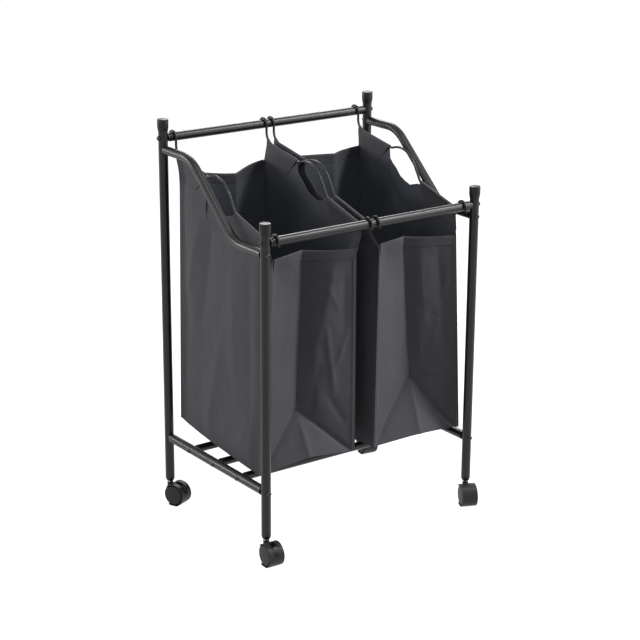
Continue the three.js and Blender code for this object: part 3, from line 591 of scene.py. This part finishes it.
wheel, stem, lever = make_wheel(), make_stem(), make_lever()
hoods = {braked: make_hood(braked) for braked in (True, False)}
for corner, (heading, braked) in CASTERS.items():
    row, column = corner.split("_")
    turn = Matrix.Rotation(math.radians(heading), 4, "Z")
    swivel = (COLUMNS[column] * UPRIGHT_X, ROWS[row] * UPRIGHT_Y, 0)
    at_axle = turn @ Matrix.Translation((0, -TRAIL / 1000, AXLE_Z / 1000))
    body = f"{corner}_caster"
    made = put(copy_of(hoods[braked], f"{corner}_housing"), swivel, at_axle)
    belongs(made, body, CASTER_NYLON, "caster_plastic", f"{corner}_caster_hood")
    made = put(copy_of(stem, f"{corner}_stem"), swivel, turn)
    belongs(made, body, ZINC, "bright_steel", f"{corner}_caster_stem")
    for side, sign in COLUMNS.items():
        made = put(copy_of(wheel, f"{corner}_{side}_roller"), swivel, at_axle @ TOWARDS_X[sign])
        belongs(made, f"{corner}_{side}_wheel", None, "wheel_plastic", f"{corner}_caster_{side}_wheel")
    if braked:
        made = put(copy_of(lever, f"{corner}_lever"), swivel, at_axle)
        belongs(made, f"{corner}_lever", CASTER_NYLON, "caster_plastic", f"{corner}_brake_lever")
for spare in (wheel, stem, lever, *hoods.values()):
    bpy.data.objects.remove(spare)

# ---- Hangers
# (Y, height) of the wire's corners from the rear hook down over the handle arch to the front hook
HANGER_CORNERS = [
    (UPRIGHT_Y + HOOK_R, REAR_ROD_Z - HOOK_TIP), (UPRIGHT_Y + HOOK_R, REAR_ROD_Z + HOOK_R),
    (UPRIGHT_Y - HOOK_R, REAR_ROD_Z + HOOK_R), (UPRIGHT_Y - HOOK_R, REAR_ROD_Z - 36),
    (50, REAR_ROD_Z - 56.1), (-2, REAR_ROD_Z - 39.5), (-46, FRONT_ROD_Z + 23.6),
    (-UPRIGHT_Y + HOOK_R, FRONT_ROD_Z - 11.5), (-UPRIGHT_Y + HOOK_R, FRONT_ROD_Z + HOOK_R),
    (-UPRIGHT_Y - HOOK_R, FRONT_ROD_Z + HOOK_R), (-UPRIGHT_Y - HOOK_R, FRONT_ROD_Z - HOOK_TIP),
]
HANGER_BENDS = (HOOK_R, HOOK_R, 26, 20, 58, 12, 7.5, HOOK_R, HOOK_R)
HANGER_ROUTE = rounded_route(HANGER_CORNERS, HANGER_BENDS, 12)
# The wire between the hooks, from front to rear
BETWEEN_HOOKS = [p for p in HANGER_ROUTE if abs(p.x) < UPRIGHT_Y - HOOK_R + 0.5 and p.y < REAR_ROD_Z - 15]
BETWEEN_HOOKS.sort(key=lambda p: p.x)


def wire_height(y):
    """Height of the middle of the wire over a place between the hooks."""
    return np.interp(y, [p.x for p in BETWEEN_HOOKS], [p.y for p in BETWEEN_HOOKS])


for column, x_sign in COLUMNS.items():
    for side, x in HANGER_X[column].items():
        made = bent_tube(f"{column}_{side}_wire", [(0, p.x, p.y) for p in HANGER_ROUTE], WIRE_R, 16)
        put(made, (x_sign * x, 0, 0))
        belongs(made, f"{column}_bag", COATED_WIRE, "hanger_wire", f"{column}_bag_{side}_hanger")

# ---- Bags. Each is shaped on the +X side and mirrored for the left one
BAG_FLOOR = 155.0
CLOTH_T = 0.8
TOP_REF = 690.0  # height up to which the side walls run straight from the floor
END_WIDTH = 216.0  # a front or rear wall along the cloth
SIDE_FRONT, SIDE_LENGTH = -163.0, 329.0  # a side wall's front corner in Y, and its length
PITCH = 4.0  # of the points in the walls
LEVELS = 132  # steps from a wall's foot to its top
EDGE_LIFT = 0.9  # how far the pressed corners stand out
WIRE_LAP = 1.0  # a sleeved edge lies this far below the middle of its wire
# Corner lines as (X, Y, height) at the floor and at the hem. X is from the middle, towards the bag.
CORNERS = {
    "left": {
        ("front", "near"): ((8, -135, 161), (31, -163, 592)),
        ("front", "far"): ((235, -129, 159), (225, -163, 600)),
        ("rear", "near"): ((14, 160, 165), (21, 166, 704)),
        ("rear", "far"): ((229, 167, 187), (222, 166, 703)),
    },
    "right": {
        ("front", "near"): ((34, -146, 162), (26, -163, 591)),
        ("front", "far"): ((246, -157, 163), (219, -163, 579)),
        ("rear", "near"): ((24, 160, 159), (13, 166, 704)),
        ("rear", "far"): ((238, 160, 159), (224, 167, 702)),
    },
}
# The folds of the front and rear walls: apex height, depth there and at the top, how far the foot
# bulges out and rises, and the fold's place across the wall at the floor, apex and hem
BOX_FOLDS = {
    "left": {
        "front": (268.0, 37.0, 42.0, 15.0, 15.0, (0.49, 0.535, 0.504)),
        "rear": (268.0, 42.0, 36.0, 8.0, 0.0, (0.5, 0.5, 0.46)),
    },
    "right": {
        "front": (281.0, 46.0, 42.0, 12.0, 8.0, (0.515, 0.574, 0.474)),
        "rear": (272.0, 42.0, 36.0, 8.0, 0.0, (0.5, 0.52, 0.57)),
    },
}
HEM_DIPS = {"left": {"front": 1.0, "rear": 9.0}, "right": {"front": 1.5, "rear": 0.0}}
PANEL_BELLY = {  # how far the near and far halves of a wall bulge out
    "left": {"front": (8.0, 0.5), "rear": (7.0, 1.0)},
    "right": {"front": (0.5, 4.5), "rear": (1.0, 5.0)},
}
GROOVE_DEPTH, GROOVE_WIDTH = 4.5, 6.0  # beside the triangles at a wall's foot
RIDGE_HEIGHT, RIDGE_WIDTH = 3.2, 7.0  # up the middle of the triangles
SEAM_HEIGHT, SEAM_WIDTH, SEAM_INSET = 1.3, 1.7, 4.5  # beside a front or rear wall's corners
SIDE_BELLY = 5.0
# Unevenness of the cloth: depth, and size across and up the wall
SWELLS, RUMPLES, DIMPLES = (2.6, 95.0, 170.0), (1.5, 58.0, 88.0), (0.45, 16.0, 22.0)
SLEEVED = ((-150.0, -46.0), (56.0, 162.0))  # Y where the side walls are sewn round their wires
# (Y, height) of a side wall's top edge from front to rear, without a height where it is sleeved
SIDE_EDGE = [
    (SIDE_FRONT, 0.0), (-155.0, 622.0), (SLEEVED[0][0], None), (SLEEVED[0][1], None),
    (-44.0, 662.0), (-35.0, 662.0), (-11.0, 655.0), (5.0, 660.0), (20.0, 667.0), (33.0, 681.0),
    (46.0, 691.0), (54.0, 699.0), (SLEEVED[1][0], None), (SLEEVED[1][1], None),
    (SIDE_FRONT + SIDE_LENGTH, 0.0),
]


def smooth_step(x, low, high):
    t = np.clip((x - low) / (high - low), 0, 1)
    return t * t * (3 - 2 * t)


def spread(knots, pitch):
    """The knots with evenly spaced values between them, at most a pitch apart."""
    line = [knots[0]]
    for a, b in zip(knots, knots[1:]):
        steps = max(1, math.ceil(abs(b - a) / pitch))
        line.extend(a + (b - a) * k / steps for k in range(1, steps + 1))
    return np.array(line)


def soft_noise(a, b, size_a, size_b, seed):
    """Smooth noise from -1 to 1 over two lengths."""
    flat = zip(np.ravel(a) / size_a, np.ravel(b) / size_b)
    values = [noise.noise(Vector((p, q, seed))) for p, q in flat]
    return np.reshape(values, np.shape(a))


def crease(a, z, start, end, depth, width, sharp):
    """A fold along a line from start to end in the wall, fading at its ends."""
    p, q = np.array(start, float), np.array(end, float)
    length = np.linalg.norm(q - p)
    along = ((a - p[0]) * (q - p)[0] + (z - p[1]) * (q - p)[1]) / length
    across = ((a - p[0]) * (q - p)[1] - (z - p[1]) * (q - p)[0]) / length
    fade_in = smooth_step(along, -0.12 * length, 0.2 * length)
    fade_out = 1 - smooth_step(along, 0.8 * length, 1.12 * length)
    return depth * (fade_in * fade_out) * np.exp(-(np.sqrt(across**2 + 1.0) / width) ** sharp)


# Folds pressed or crumpled into the walls: start, end, depth and width, and how sharp they are.
# Places are (mm from the wall's near or front corner, height).
FRONT_FOLDS = {
    "left": [
        ((46, 575), (80, 400), 4.5, 17, 1.1), ((84, 420), (72, 262), 5.0, 14, 1.1),
        ((62, 440), (42, 300), 4.0, 5, 1.0), ((40, 352), (12, 432), 3.6, 5, 1.0),
        ((74, 360), (84, 250), -4.0, 7, 1.0), ((24, 560), (20, 380), -2.4, 12, 1.0),
        ((56, 300), (18, 225), -3.6, 6, 1.0), ((34, 470), (62, 520), 2.0, 6, 1.0),
        ((160, 560), (168, 300), -1.6, 18, 1.6),
    ],
    "right": [
        ((136, 575), (142, 360), 3.0, 15, 1.0), ((178, 560), (190, 330), -5.5, 12, 1.0),
        ((200, 520), (158, 340), 2.6, 8, 1.0), ((120, 283), (170, 279), -4.6, 4, 1.0),
        ((168, 279), (214, 298), -4.0, 5, 1.0), ((128, 430), (132, 310), 2.6, 7, 1.0),
        ((192, 262), (156, 190), -2.0, 6, 1.0), ((150, 420), (196, 400), -2.0, 6, 1.0),
        ((60, 470), (66, 300), -1.2, 16, 1.6),
    ],
}
SIDE_FOLDS = [
    ((66, 600), (40, 260), -3.4, 18, 1.4), ((120, 560), (104, 330), 2.6, 22, 1.4),
    ((196, 640), (232, 420), -3.8, 20, 1.2), ((236, 640), (284, 470), 3.4, 17, 1.2),
    ((150, 420), (210, 190), 2.4, 20, 1.5), ((286, 560), (300, 250), -2.6, 18, 1.5),
]
REAR_FOLDS = [
    ((60, 640), (54, 360), -3.0, 16, 1.2), ((150, 600), (166, 330), 2.8, 14, 1.2),
    ((120, 520), (190, 260), -2.4, 9, 1.0), ((40, 300), (80, 480), 2.0, 10, 1.0),
]


class Bag:
    """One bag's shape on the +X side. Walls are front, far, rear and near, each with a place along it."""

    def __init__(self, column):
        self.column = column
        self.seed = {"left": 3.7, "right": 11.3}[column]  # of the cloth's unevenness
        self.corners = {key: np.array(ends, float) for key, ends in CORNERS[column].items()}
        self.wires = {"near": HANGER_X[column]["inner"], "far": HANGER_X[column]["outer"]}
        self.box_folds, self.dips, self.bellies = BOX_FOLDS[column], HEM_DIPS[column], PANEL_BELLY[column]
        self.folds = {"front": FRONT_FOLDS[column], "rear": REAR_FOLDS}

    def side_top(self, wall, y):
        """Height of a side wall's top edge. It follows the wire where cloth is sewn round it."""
        heights = [wire_height(at) - WIRE_LAP if z is None else z for at, z in SIDE_EDGE]
        heights[0], heights[-1] = self.corners["front", wall][1][2], self.corners["rear", wall][1][2]
        (start, end), (rear_start, rear_end) = SLEEVED
        sleeved = (y >= start) & (y <= end) | (y >= rear_start) & (y <= rear_end)
        free = np.interp(y, [at for at, _ in SIDE_EDGE], heights)
        return np.where(sleeved, wire_height(y) - WIRE_LAP, free)

    def hem_top(self, wall, t):
        near, far = (self.corners[wall, side][1][2] for side in ("near", "far"))
        half = 1 - np.abs(2 * t - 1)
        return near + (far - near) * t - self.dips[wall] * np.sin(half * math.pi / 2) ** 2

    def foot(self, wall, t):
        """Height of a wall's lower edge."""
        if wall in ("front", "rear"):
            low, high = (self.corners[wall, side][0][2] for side in ("near", "far"))
            return low + (high - low) * t + self.box_folds[wall][4] * (1 - np.abs(2 * t - 1))
        low, high = (self.corners[end, wall][0][2] for end in ("front", "rear"))
        share = np.clip((t - SIDE_FRONT) / SIDE_LENGTH, 0, 1)
        return low + (high - low) * share - 3.0 * np.sin(share * math.pi)

    def corner_line(self, wall, side, z):
        """X and Y of a corner at a height."""
        low, high = self.corners[wall, side]
        share = (z - low[2]) / (high[2] - low[2])
        return low[0] + (high[0] - low[0]) * share, low[1] + (high[1] - low[1]) * share

    def side_x(self, side, y, z):
        """A side wall's X: straight from the floor to its wire, and to its corners at both ends."""
        front, rear = (self.corners[wall, side][0][0] for wall in ("front", "rear"))
        low = front + (rear - front) * np.clip((y + 150) / 310, 0, 1)
        x = low + (self.wires[side] - low) * np.clip((z - BAG_FLOOR) / (TOP_REF - BAG_FLOOR), 0, 1)
        for wall, weight, top in (
            ("front", 1 - smooth_step(y, -168, -95), 625.0), ("rear", smooth_step(y, 95, 170), 738.0)
        ):
            corner_z = self.corners[wall, side][1][2]
            hold = weight * (1 - smooth_step(z, corner_z - 12, top))
            x = x + (self.corner_line(wall, side, z)[0] - x) * hold
        return x

    def folded(self, wall, t, z):
        """Depth of a front or rear wall folded in at its middle, with the triangles at its foot."""
        apex_z, apex_in, top_in, bottom_out, _, _ = self.box_folds[wall]
        top_z = self.corners[wall, "near"][1][2]
        half = 1 - np.abs(2 * t - 1)  # 0 at the corners, 1 at the middle
        rise = np.clip((z - BAG_FLOOR) / (apex_z - BAG_FLOOR), 0, 1)
        above_apex = np.clip((z - apex_z) / (top_z - apex_z), 0, 1)
        upper = (apex_in + (top_in - apex_in) * above_apex) * half
        diagonal = np.maximum(rise, 1e-4)
        share = np.clip((half - diagonal) / np.maximum(1 - diagonal, 1e-4), 0, 1)
        at_diagonal = apex_in * rise
        at_middle = at_diagonal - bottom_out * (1 - rise)
        lower = np.where(
            half < diagonal, at_diagonal * half / diagonal, at_diagonal + (at_middle - at_diagonal) * share
        )
        # A groove beside each triangle, a ridge up its middle, and a belly in each half of the panel
        from_diagonal = (half - rise) * (END_WIDTH / 2)
        from_middle = (1 - half) * (END_WIDTH / 2)
        groove = GROOVE_DEPTH * np.exp(-((from_diagonal / GROOVE_WIDTH) ** 2))
        groove = groove * smooth_step(rise, 0.05, 0.25) * (1 - 0.5 * rise)
        ridge = RIDGE_HEIGHT * np.exp(-from_middle / RIDGE_WIDTH)
        ridge = ridge * smooth_step(rise, -0.1, 0.2) * (1 - smooth_step(rise, 0.6, 0.95))
        near_belly, far_belly = self.bellies[wall]
        belly = np.where(t < 0.5, near_belly, far_belly)
        rounded = belly * np.sin(math.pi * half**1.3) * smooth_step(z, BAG_FLOOR + 20, apex_z + 30)
        return np.where(z < apex_z, lower + groove - ridge, upper) - rounded

    def place(self, wall, t, z):
        """Where a wall is. t is a share from near to far on front and rear, and Y on the side walls."""
        t, z = np.broadcast_arrays(np.asarray(t, float), np.asarray(z, float))
        if wall in ("front", "rear"):
            sign = -1 if wall == "front" else 1
            (near_x, near_y), (far_x, far_y) = (self.corner_line(wall, side, z) for side in ("near", "far"))
            apex_z, middles = self.box_folds[wall][0], self.box_folds[wall][5]
            middle = np.interp(z, [BAG_FLOOR, apex_z, self.corners[wall, "near"][1][2]], middles)
            across = np.where(t < 0.5, 2 * t * middle, 1 - 2 * (1 - t) * (1 - middle))
            x = near_x + (far_x - near_x) * across
            y = near_y + (far_y - near_y) * across - sign * self.folded(wall, t, z)
            from_corner = np.minimum(t, 1 - t)
            inner = smooth_step(from_corner, 0.0, 0.12)
            crest = 0.35 + 0.65 * smooth_step(np.abs(t - 0.5), 0.0, 0.1)
            seam = SEAM_HEIGHT * np.exp(-(((from_corner * END_WIDTH - SEAM_INSET) / SEAM_WIDTH) ** 2))
            foot = smooth_step(z, BAG_FLOOR, BAG_FLOOR + 40)
            crumpled = self.crumple(END_WIDTH * t, z, self.folds[wall])
            y = y + sign * (crumpled * inner * crest * foot + seam)
            return np.stack([x, y, z], -1)
        low, high = (self.corner_line(end, wall, z)[1] for end in ("front", "rear"))
        share = (t - SIDE_FRONT) / SIDE_LENGTH
        top = self.side_top(wall, t)
        straight = low + (high - low) * share
        y = straight + (t - straight) * smooth_step(z, top - 60, top - 40)
        top_hold = 1 - smooth_step(z, top - 70, top - 25)
        ends = smooth_step(np.minimum(share, 1 - share), 0.0, 0.12)
        foot = smooth_step(z, BAG_FLOOR, BAG_FLOOR + 45)
        away, size = (-1, 0.5) if wall == "near" else (1, 1.0)
        belly = SIDE_BELLY * ends * foot * top_hold
        fold = self.crumple(share * SIDE_LENGTH, z, SIDE_FOLDS) * ends * foot * (0.15 + 0.85 * top_hold)
        return np.stack([self.side_x(wall, y, z) + away * size * (belly + fold), y, z], -1)

    def crumple(self, a, z, folds):
        """How far a wall stands out where it is uneven and creased."""
        (swell, *swell_size), (rumple, *rumple_size), (dimple, *dimple_size) = SWELLS, RUMPLES, DIMPLES
        total = swell * soft_noise(a, z, *swell_size, self.seed)
        total += rumple * (0.35 - np.abs(soft_noise(a, z, *rumple_size, self.seed + 5)))
        total += dimple * soft_noise(a, z, *dimple_size, self.seed + 9)
        for start, end, depth, width, sharp in folds:
            total = total + crease(a, z, start, end, depth, width, sharp)
        return total


def mesh_object(name, places, faces, uvs=None):
    data = bpy.data.meshes.new(name)
    data.from_pydata([tuple(to_row(p)) for p in places], [], faces)
    if uvs is not None:
        layer = data.uv_layers.new(name="cloth")
        for loop in data.loops:
            layer.data[loop.index].uv = uvs[loop.vertex_index]
    piece = new_object(name, data)
    only(piece)
    edit()
    if uvs is not None:
        bpy.ops.mesh.remove_doubles(threshold=2e-5)
    bpy.ops.mesh.normals_make_consistent(inside=False)
    leave_edit()
    return piece


def sheet_mesh(name, patches):
    """One mesh from grids of points with UV lengths in metres. Points are millimetres."""
    places, faces, uvs = [], [], []
    for points, uv in patches:
        rows, columns = points.shape[:2]
        for r in range(rows - 1):
            for c in range(columns - 1):
                k = len(places) + r * columns + c
                faces.append((k, k + 1, k + columns + 1, k + columns))
        places += list(points.reshape(-1, 3))
        uvs += [tuple(v) for v in uv.reshape(-1, 2)]
    return mesh_object(name, places, faces, uvs)


def wall_points(bag, wall, along, levels):
    """A wall's grid of points from its foot to its top, and their UV."""
    at_end = wall in ("front", "rear")
    top = bag.hem_top(wall, along) if at_end else bag.side_top(wall, along)
    foot = bag.foot(wall, along)
    z = foot + levels[:, None] * (top - foot)[None, :]
    points = bag.place(wall, np.broadcast_to(along, z.shape), z)
    lengths = along * END_WIDTH if at_end else along - SIDE_FRONT
    return points, np.stack([np.broadcast_to(lengths, z.shape), z], -1) / 1000


def smooth_cloth(piece):
    only(piece)
    bpy.ops.object.shade_smooth_by_angle(angle=math.radians(50))


def mirrored(points, x_sign):
    return points * np.array([x_sign, 1.0, 1.0])


def bag_shell(bag, x_sign):
    """The bag's four walls and its floor as one open sheet."""
    levels = spread([0.0, 1.0], 1 / LEVELS)
    edge = [0.007, 0.014, 0.021, 0.028, 0.036]  # closer points beside the corners
    shares = spread([0.0, *edge, 0.5, *(1 - e for e in edge[::-1]), 1.0], PITCH / END_WIDTH)
    side_y = spread([y for y, _ in SIDE_EDGE], PITCH)
    walls = {
        wall: wall_points(bag, wall, shares if wall in ("front", "rear") else side_y, levels)
        for wall in ("front", "far", "rear", "near")
    }
    # The walls meet in pressed edges that stand out a little along each corner
    bag_middle = np.array([125.0, 0.0, 0.0])
    for first, i, second, j in (
        ("front", 0, "near", 0), ("front", -1, "far", 0), ("rear", 0, "near", -1), ("rear", -1, "far", -1),
    ):
        line = walls[first][0][:, i]
        line = line + np.sign(line - bag_middle) * np.array([EDGE_LIFT, EDGE_LIFT, 0.0])
        walls[first][0][:, i] = walls[second][0][:, j] = line
    # The floor joins the four lower edges
    front, far = walls["front"][0][0], walls["far"][0][0]
    rear, near = walls["rear"][0][0], walls["near"][0][0]
    s = shares[None, :, None]
    t = np.linspace(0, 1, len(side_y))[:, None, None]
    floor = (
        front[None] * (1 - t) + rear[None] * t + near[:, None] * (1 - s) + far[:, None] * s
        - (front[0] * (1 - s) * (1 - t) + front[-1] * s * (1 - t) + rear[0] * (1 - s) * t + rear[-1] * s * t)
    )
    # and sags onto the bottom bars
    rim = np.minimum(np.minimum(s, 1 - s) * END_WIDTH, np.minimum(t, 1 - t) * 300)
    floor[:, :, 2:] = BAG_FLOOR + (floor[:, :, 2:] - BAG_FLOOR) * (1 - smooth_step(rim, 0, 110))
    grids = [*walls.values(), (floor, floor[:, :, :2] / 1000)]
    return sheet_mesh(f"{bag.column}_cloth_bag", [(mirrored(points, x_sign), uv) for points, uv in grids])


OUTWARD = {"front": (0, -1, 0), "rear": (0, 1, 0), "far": (1, 0, 0), "near": (-1, 0, 0)}


def normals_of(bag, wall, t, z):
    """Outward unit normals of a wall."""
    step_t = 0.01 if wall in ("front", "rear") else 2.0
    across = bag.place(wall, t + step_t, z) - bag.place(wall, t - step_t, z)
    up = bag.place(wall, t, z + 2.0) - bag.place(wall, t, z - 2.0)
    normal = np.cross(across, up)
    normal /= np.linalg.norm(normal, axis=-1, keepdims=True)
    return normal * np.sign((normal * np.array(OUTWARD[wall])).sum(-1, keepdims=True))


def lengths_along(points):
    return np.concatenate([[0], np.cumsum(np.linalg.norm(np.diff(points, axis=0), axis=-1))])


def folded_band(name, bag, wall, top_line, low_line, radius, x_sign, steps):
    """A strip of cloth folded over a wall's top edge and sewn down on both faces.

    The lines are (t, z) points of the fold and of its sewn edge. Round a wire the fold has that radius.
    """
    shares = np.linspace(0, 1, steps)
    top_t, top_z, low_t, low_z = (
        np.interp(shares, np.linspace(0, 1, len(line)), [p[k] for p in line])
        for line in (top_line, low_line) for k in (0, 1)
    )
    faces = []
    for side in (1, -1):
        face = []
        for drop in BAND_DROPS:
            t = top_t + (low_t - top_t) * drop
            z = top_z + (low_z - top_z) * drop
            off = 1.0 + (radius - 1.0) * (1 - smooth_step(np.array(drop), 0.05, 0.62))
            face.append(bag.place(wall, t, z) + side * off * normals_of(bag, wall, t, z))
        faces.append(face)
    middle, normal = bag.place(wall, top_t, top_z), normals_of(bag, wall, top_t, top_z)
    arc = [
        middle + radius * (math.cos(angle) * normal + math.sin(angle) * np.array([0, 0, 1.0]))
        for angle in np.radians([18, 54, 90, 126, 162])
    ]
    points = np.stack(faces[0] + arc + faces[1][::-1])
    run, girth = lengths_along(points[len(BAND_DROPS)]), lengths_along(points[:, 0])
    uv = np.stack(np.broadcast_arrays(run[None, :], girth[:, None]), -1) / 1000
    piece = sheet_mesh(name, [(mirrored(points, x_sign), uv)])
    modify(piece, "SOLIDIFY", thickness=CLOTH_T / 1000, offset=0.0)
    smooth_cloth(piece)
    return piece


def stitch_row(bag, wall, start, end):
    """Stitches along a line in a wall, on both its faces: six-cornered slivers. Returns places and faces."""
    (t0, z0), (t1, z1) = start, end
    first, last = bag.place(wall, t0, z0), bag.place(wall, t1, z1)
    count = max(2, int(np.linalg.norm(last - first) / STITCH_PITCH))
    places, faces = [], []
    for side in (1, -1):
        for k in range(count):
            middle, reach = (k + 0.5) / count, STITCH_LENGTH / STITCH_PITCH / count / 2
            ends = []
            for share in (middle - reach, middle, middle + reach):
                t, z = t0 + (t1 - t0) * share, z0 + (z1 - z0) * share
                ends.append((bag.place(wall, t, z), normals_of(bag, wall, t, z) * side))
            (a, _), (m, n), (b, _) = ends
            along = (b - a) / np.linalg.norm(b - a)
            across = np.cross(along, n)
            lift = n * STITCH_LIFT
            base = len(places)
            places += [
                a + lift - n * STITCH_SINK, b + lift - n * STITCH_SINK,
                m + lift + n * STITCH_R, m + lift + across * STITCH_R,
                m + lift - n * STITCH_R, m + lift - across * STITCH_R,
            ]
            for p, q in ((2, 3), (3, 4), (4, 5), (5, 2)):
                faces += [(base, base + p, base + q), (base + 1, base + q, base + p)]
    return places, faces


def stitching(name, rows, x_sign):
    places, faces = [], []
    for row_places, row_faces in rows:
        faces += [tuple(k + len(places) for k in face) for face in row_faces]
        places += [mirrored(np.array(p), x_sign) for p in row_places]
    piece = mesh_object(name, places, faces)
    bpy.ops.object.shade_smooth()
    return piece


HEM_DEPTH, HEM_RADIUS, SLEEVE_RADIUS = 17.0, 1.7, 3.4
HEM_STEPS, SLEEVE_STEPS = 49, 29
BAND_DROPS = [1.0, 0.8, 0.6, 0.42, 0.28, 0.17, 0.09]  # shares of a band's depth, from its sewn edge up
STITCH_PITCH, STITCH_LENGTH, STITCH_R = 3.2, 2.2, 0.34
STITCH_LIFT, STITCH_SINK = 1.7, 0.2
STITCH_LINE = 3.0  # from a band's sewn edge up to its stitches
SLEEVE_ENDS = (  # Y of the fold's ends, and (Y, height) of the sewn edge's ends
    ("front", -46.5, -150.0, (-56.0, 627.0), (-161.0, 592.0)),
    ("rear", 57.0, 160.0, (93.0, 686.0), (166.0, 702.0)),
)
for column, x_sign in COLUMNS.items():
    body = f"{column}_bag"
    bag = Bag(column)
    shell = bag_shell(bag, x_sign)
    belongs(shell, body, CLOTH, "bag_cloth", f"{column}_bag")
    # The inner faces take the lining, whose paler, bluer tone is partly painted light inside the bags
    shell.data.materials.append(LINING_WITH_PAINTED_LIGHT)
    modify(
        shell, "SOLIDIFY", thickness=CLOTH_T / 1000, offset=-1.0, use_even_offset=False, material_offset=1
    )
    smooth_cloth(shell)

    bands, rows = [], []
    for wall in ("front", "rear"):
        shares = np.linspace(0.012, 0.988, HEM_STEPS)
        hem = bag.hem_top(wall, shares)
        top_line, low_line = list(zip(shares, hem + 0.4)), list(zip(shares, hem + 0.4 - HEM_DEPTH))
        bands.append(folded_band(
            f"{column}_{wall}_hem", bag, wall, top_line, low_line, HEM_RADIUS, x_sign, HEM_STEPS
        ))
        stitched = list(zip(shares, hem - HEM_DEPTH + STITCH_LINE))[::6]
        rows += [stitch_row(bag, wall, start, end) for start, end in zip(stitched, stitched[1:])]
    for side, wall in (("inner", "near"), ("outer", "far")):
        for place, start, end, low_start, low_end in SLEEVE_ENDS:
            line_y = np.linspace(start, end, SLEEVE_STEPS)
            top_line = list(zip(line_y, wire_height(line_y)))
            bands.append(folded_band(
                f"{column}_{side}_{place}_sleeve", bag, wall, top_line, [low_start, low_end],
                SLEEVE_RADIUS, x_sign, SLEEVE_STEPS,
            ))
            rows.append(stitch_row(bag, wall, *((y, z + STITCH_LINE) for y, z in (low_start, low_end))))
    for band in bands:
        belongs(band, body, CLOTH, "bag_cloth")
    thread = stitching(f"{column}_stitching", rows, x_sign)
    belongs(thread, body, THREAD, "bag_cloth")

# ---- What stays of the CAD nodes gets its finish
for corner in CASTERS:
    for name, material in ((f"{corner}_stem_socket", CAP_PLASTIC), (f"{corner}_caster_axle", ZINC)):
        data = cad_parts[name].data
        data.materials.clear()
        data.materials.append(material)


# ---- Floor, world and lights
def sees_background(tree):
    """1 for camera, glossy and transmission rays, to which the floor and the world are white."""
    path = node(tree, "LightPath")
    seen = node(tree, "Math", [(0, path, "Is Camera Ray"), (1, path, "Is Glossy Ray")], operation="MAXIMUM")
    return node(tree, "Math", [(0, seen, 0), (1, path, "Is Transmission Ray")], operation="MAXIMUM")


def floor_material():
    """A floor that reads as white to the camera and keeps a soft shadow."""
    made, tree = new_material("white_floor")
    diffuse = node(tree, "BsdfDiffuse", Color=(0.3, 0.3, 0.3, 1))
    glow = node(tree, "Emission", Color=(1, 1, 1, 1), Strength=0.955)
    both = node(tree, "AddShader", [(0, diffuse, 0), (1, glow, 0)])
    plain = node(tree, "BsdfDiffuse", Color=(0.5, 0.5, 0.5, 1))
    mixed = node(tree, "MixShader", [(0, sees_background(tree), 0), (1, plain, 0), (2, both, 0)])
    node(tree, "OutputMaterial", [("Surface", mixed, 0)])
    return made


bpy.ops.mesh.primitive_circle_add(vertices=64, radius=14.0, fill_type="NGON", location=(0, 0, -0.0004))
floor = bpy.context.object
floor.name = "floor"
floor.data.materials.append(floor_material())

world = bpy.data.worlds.new("studio")
bpy.context.scene.world = world
world.use_nodes = True
sky = world.node_tree
sky.nodes.clear()
strength = node(sky, "MapRange", [("Value", sees_background(sky), 0)], To_Min=0.13, To_Max=1.0)
background = node(sky, "Background", [("Strength", strength, "Result")], Color=(1, 1, 1, 1))
node(sky, "OutputWorld", [("Surface", background, 0)])


def softbox(name, place, aim_z, size, watts):
    """A rectangular light that faces the object's axis at a height. Lengths are metres."""
    data = bpy.data.lights.new(name, "AREA")
    data.shape = "RECTANGLE"
    data.size, data.size_y = size
    data.energy = watts
    made = new_object(name, data)
    facing = (Vector((0, 0, aim_z)) - Vector(place)).to_track_quat("-Z", "Y")
    made.matrix_world = Matrix.Translation(place) @ facing.to_matrix().to_4x4()


# The faces turned to the camera stay dark: the main boxes stand to the right of the front, behind the
# left side and beside it. A high one reaches into the bags, and a weak one hangs over the front. A strip
# shines along the rods, and a rim light finds the upper edges.
softbox("right", (2.4, -1.55, 1.5), 0.6, (0.5, 1.1), 50)
softbox("high", (1.75, -1.25, 2.8), 0.6, (0.7, 0.7), 66)
softbox("left", (-2.05, 2.2, 1.2), 0.6, (0.5, 1.2), 36)
softbox("left_side", (-2.8, 0.0, 1.6), 0.5, (0.7, 0.9), 24)
softbox("overhead", (-0.6, -0.7, 2.8), 0.5, (1.0, 1.0), 18)
softbox("strip", (1.7, -2.3, 1.1), 0.6, (0.12, 1.4), 10)
softbox("rim", (1.4, 2.0, 2.0), 0.6, (1.0, 0.6), 26)

bpy.ops.object.select_all(action="DESELECT")
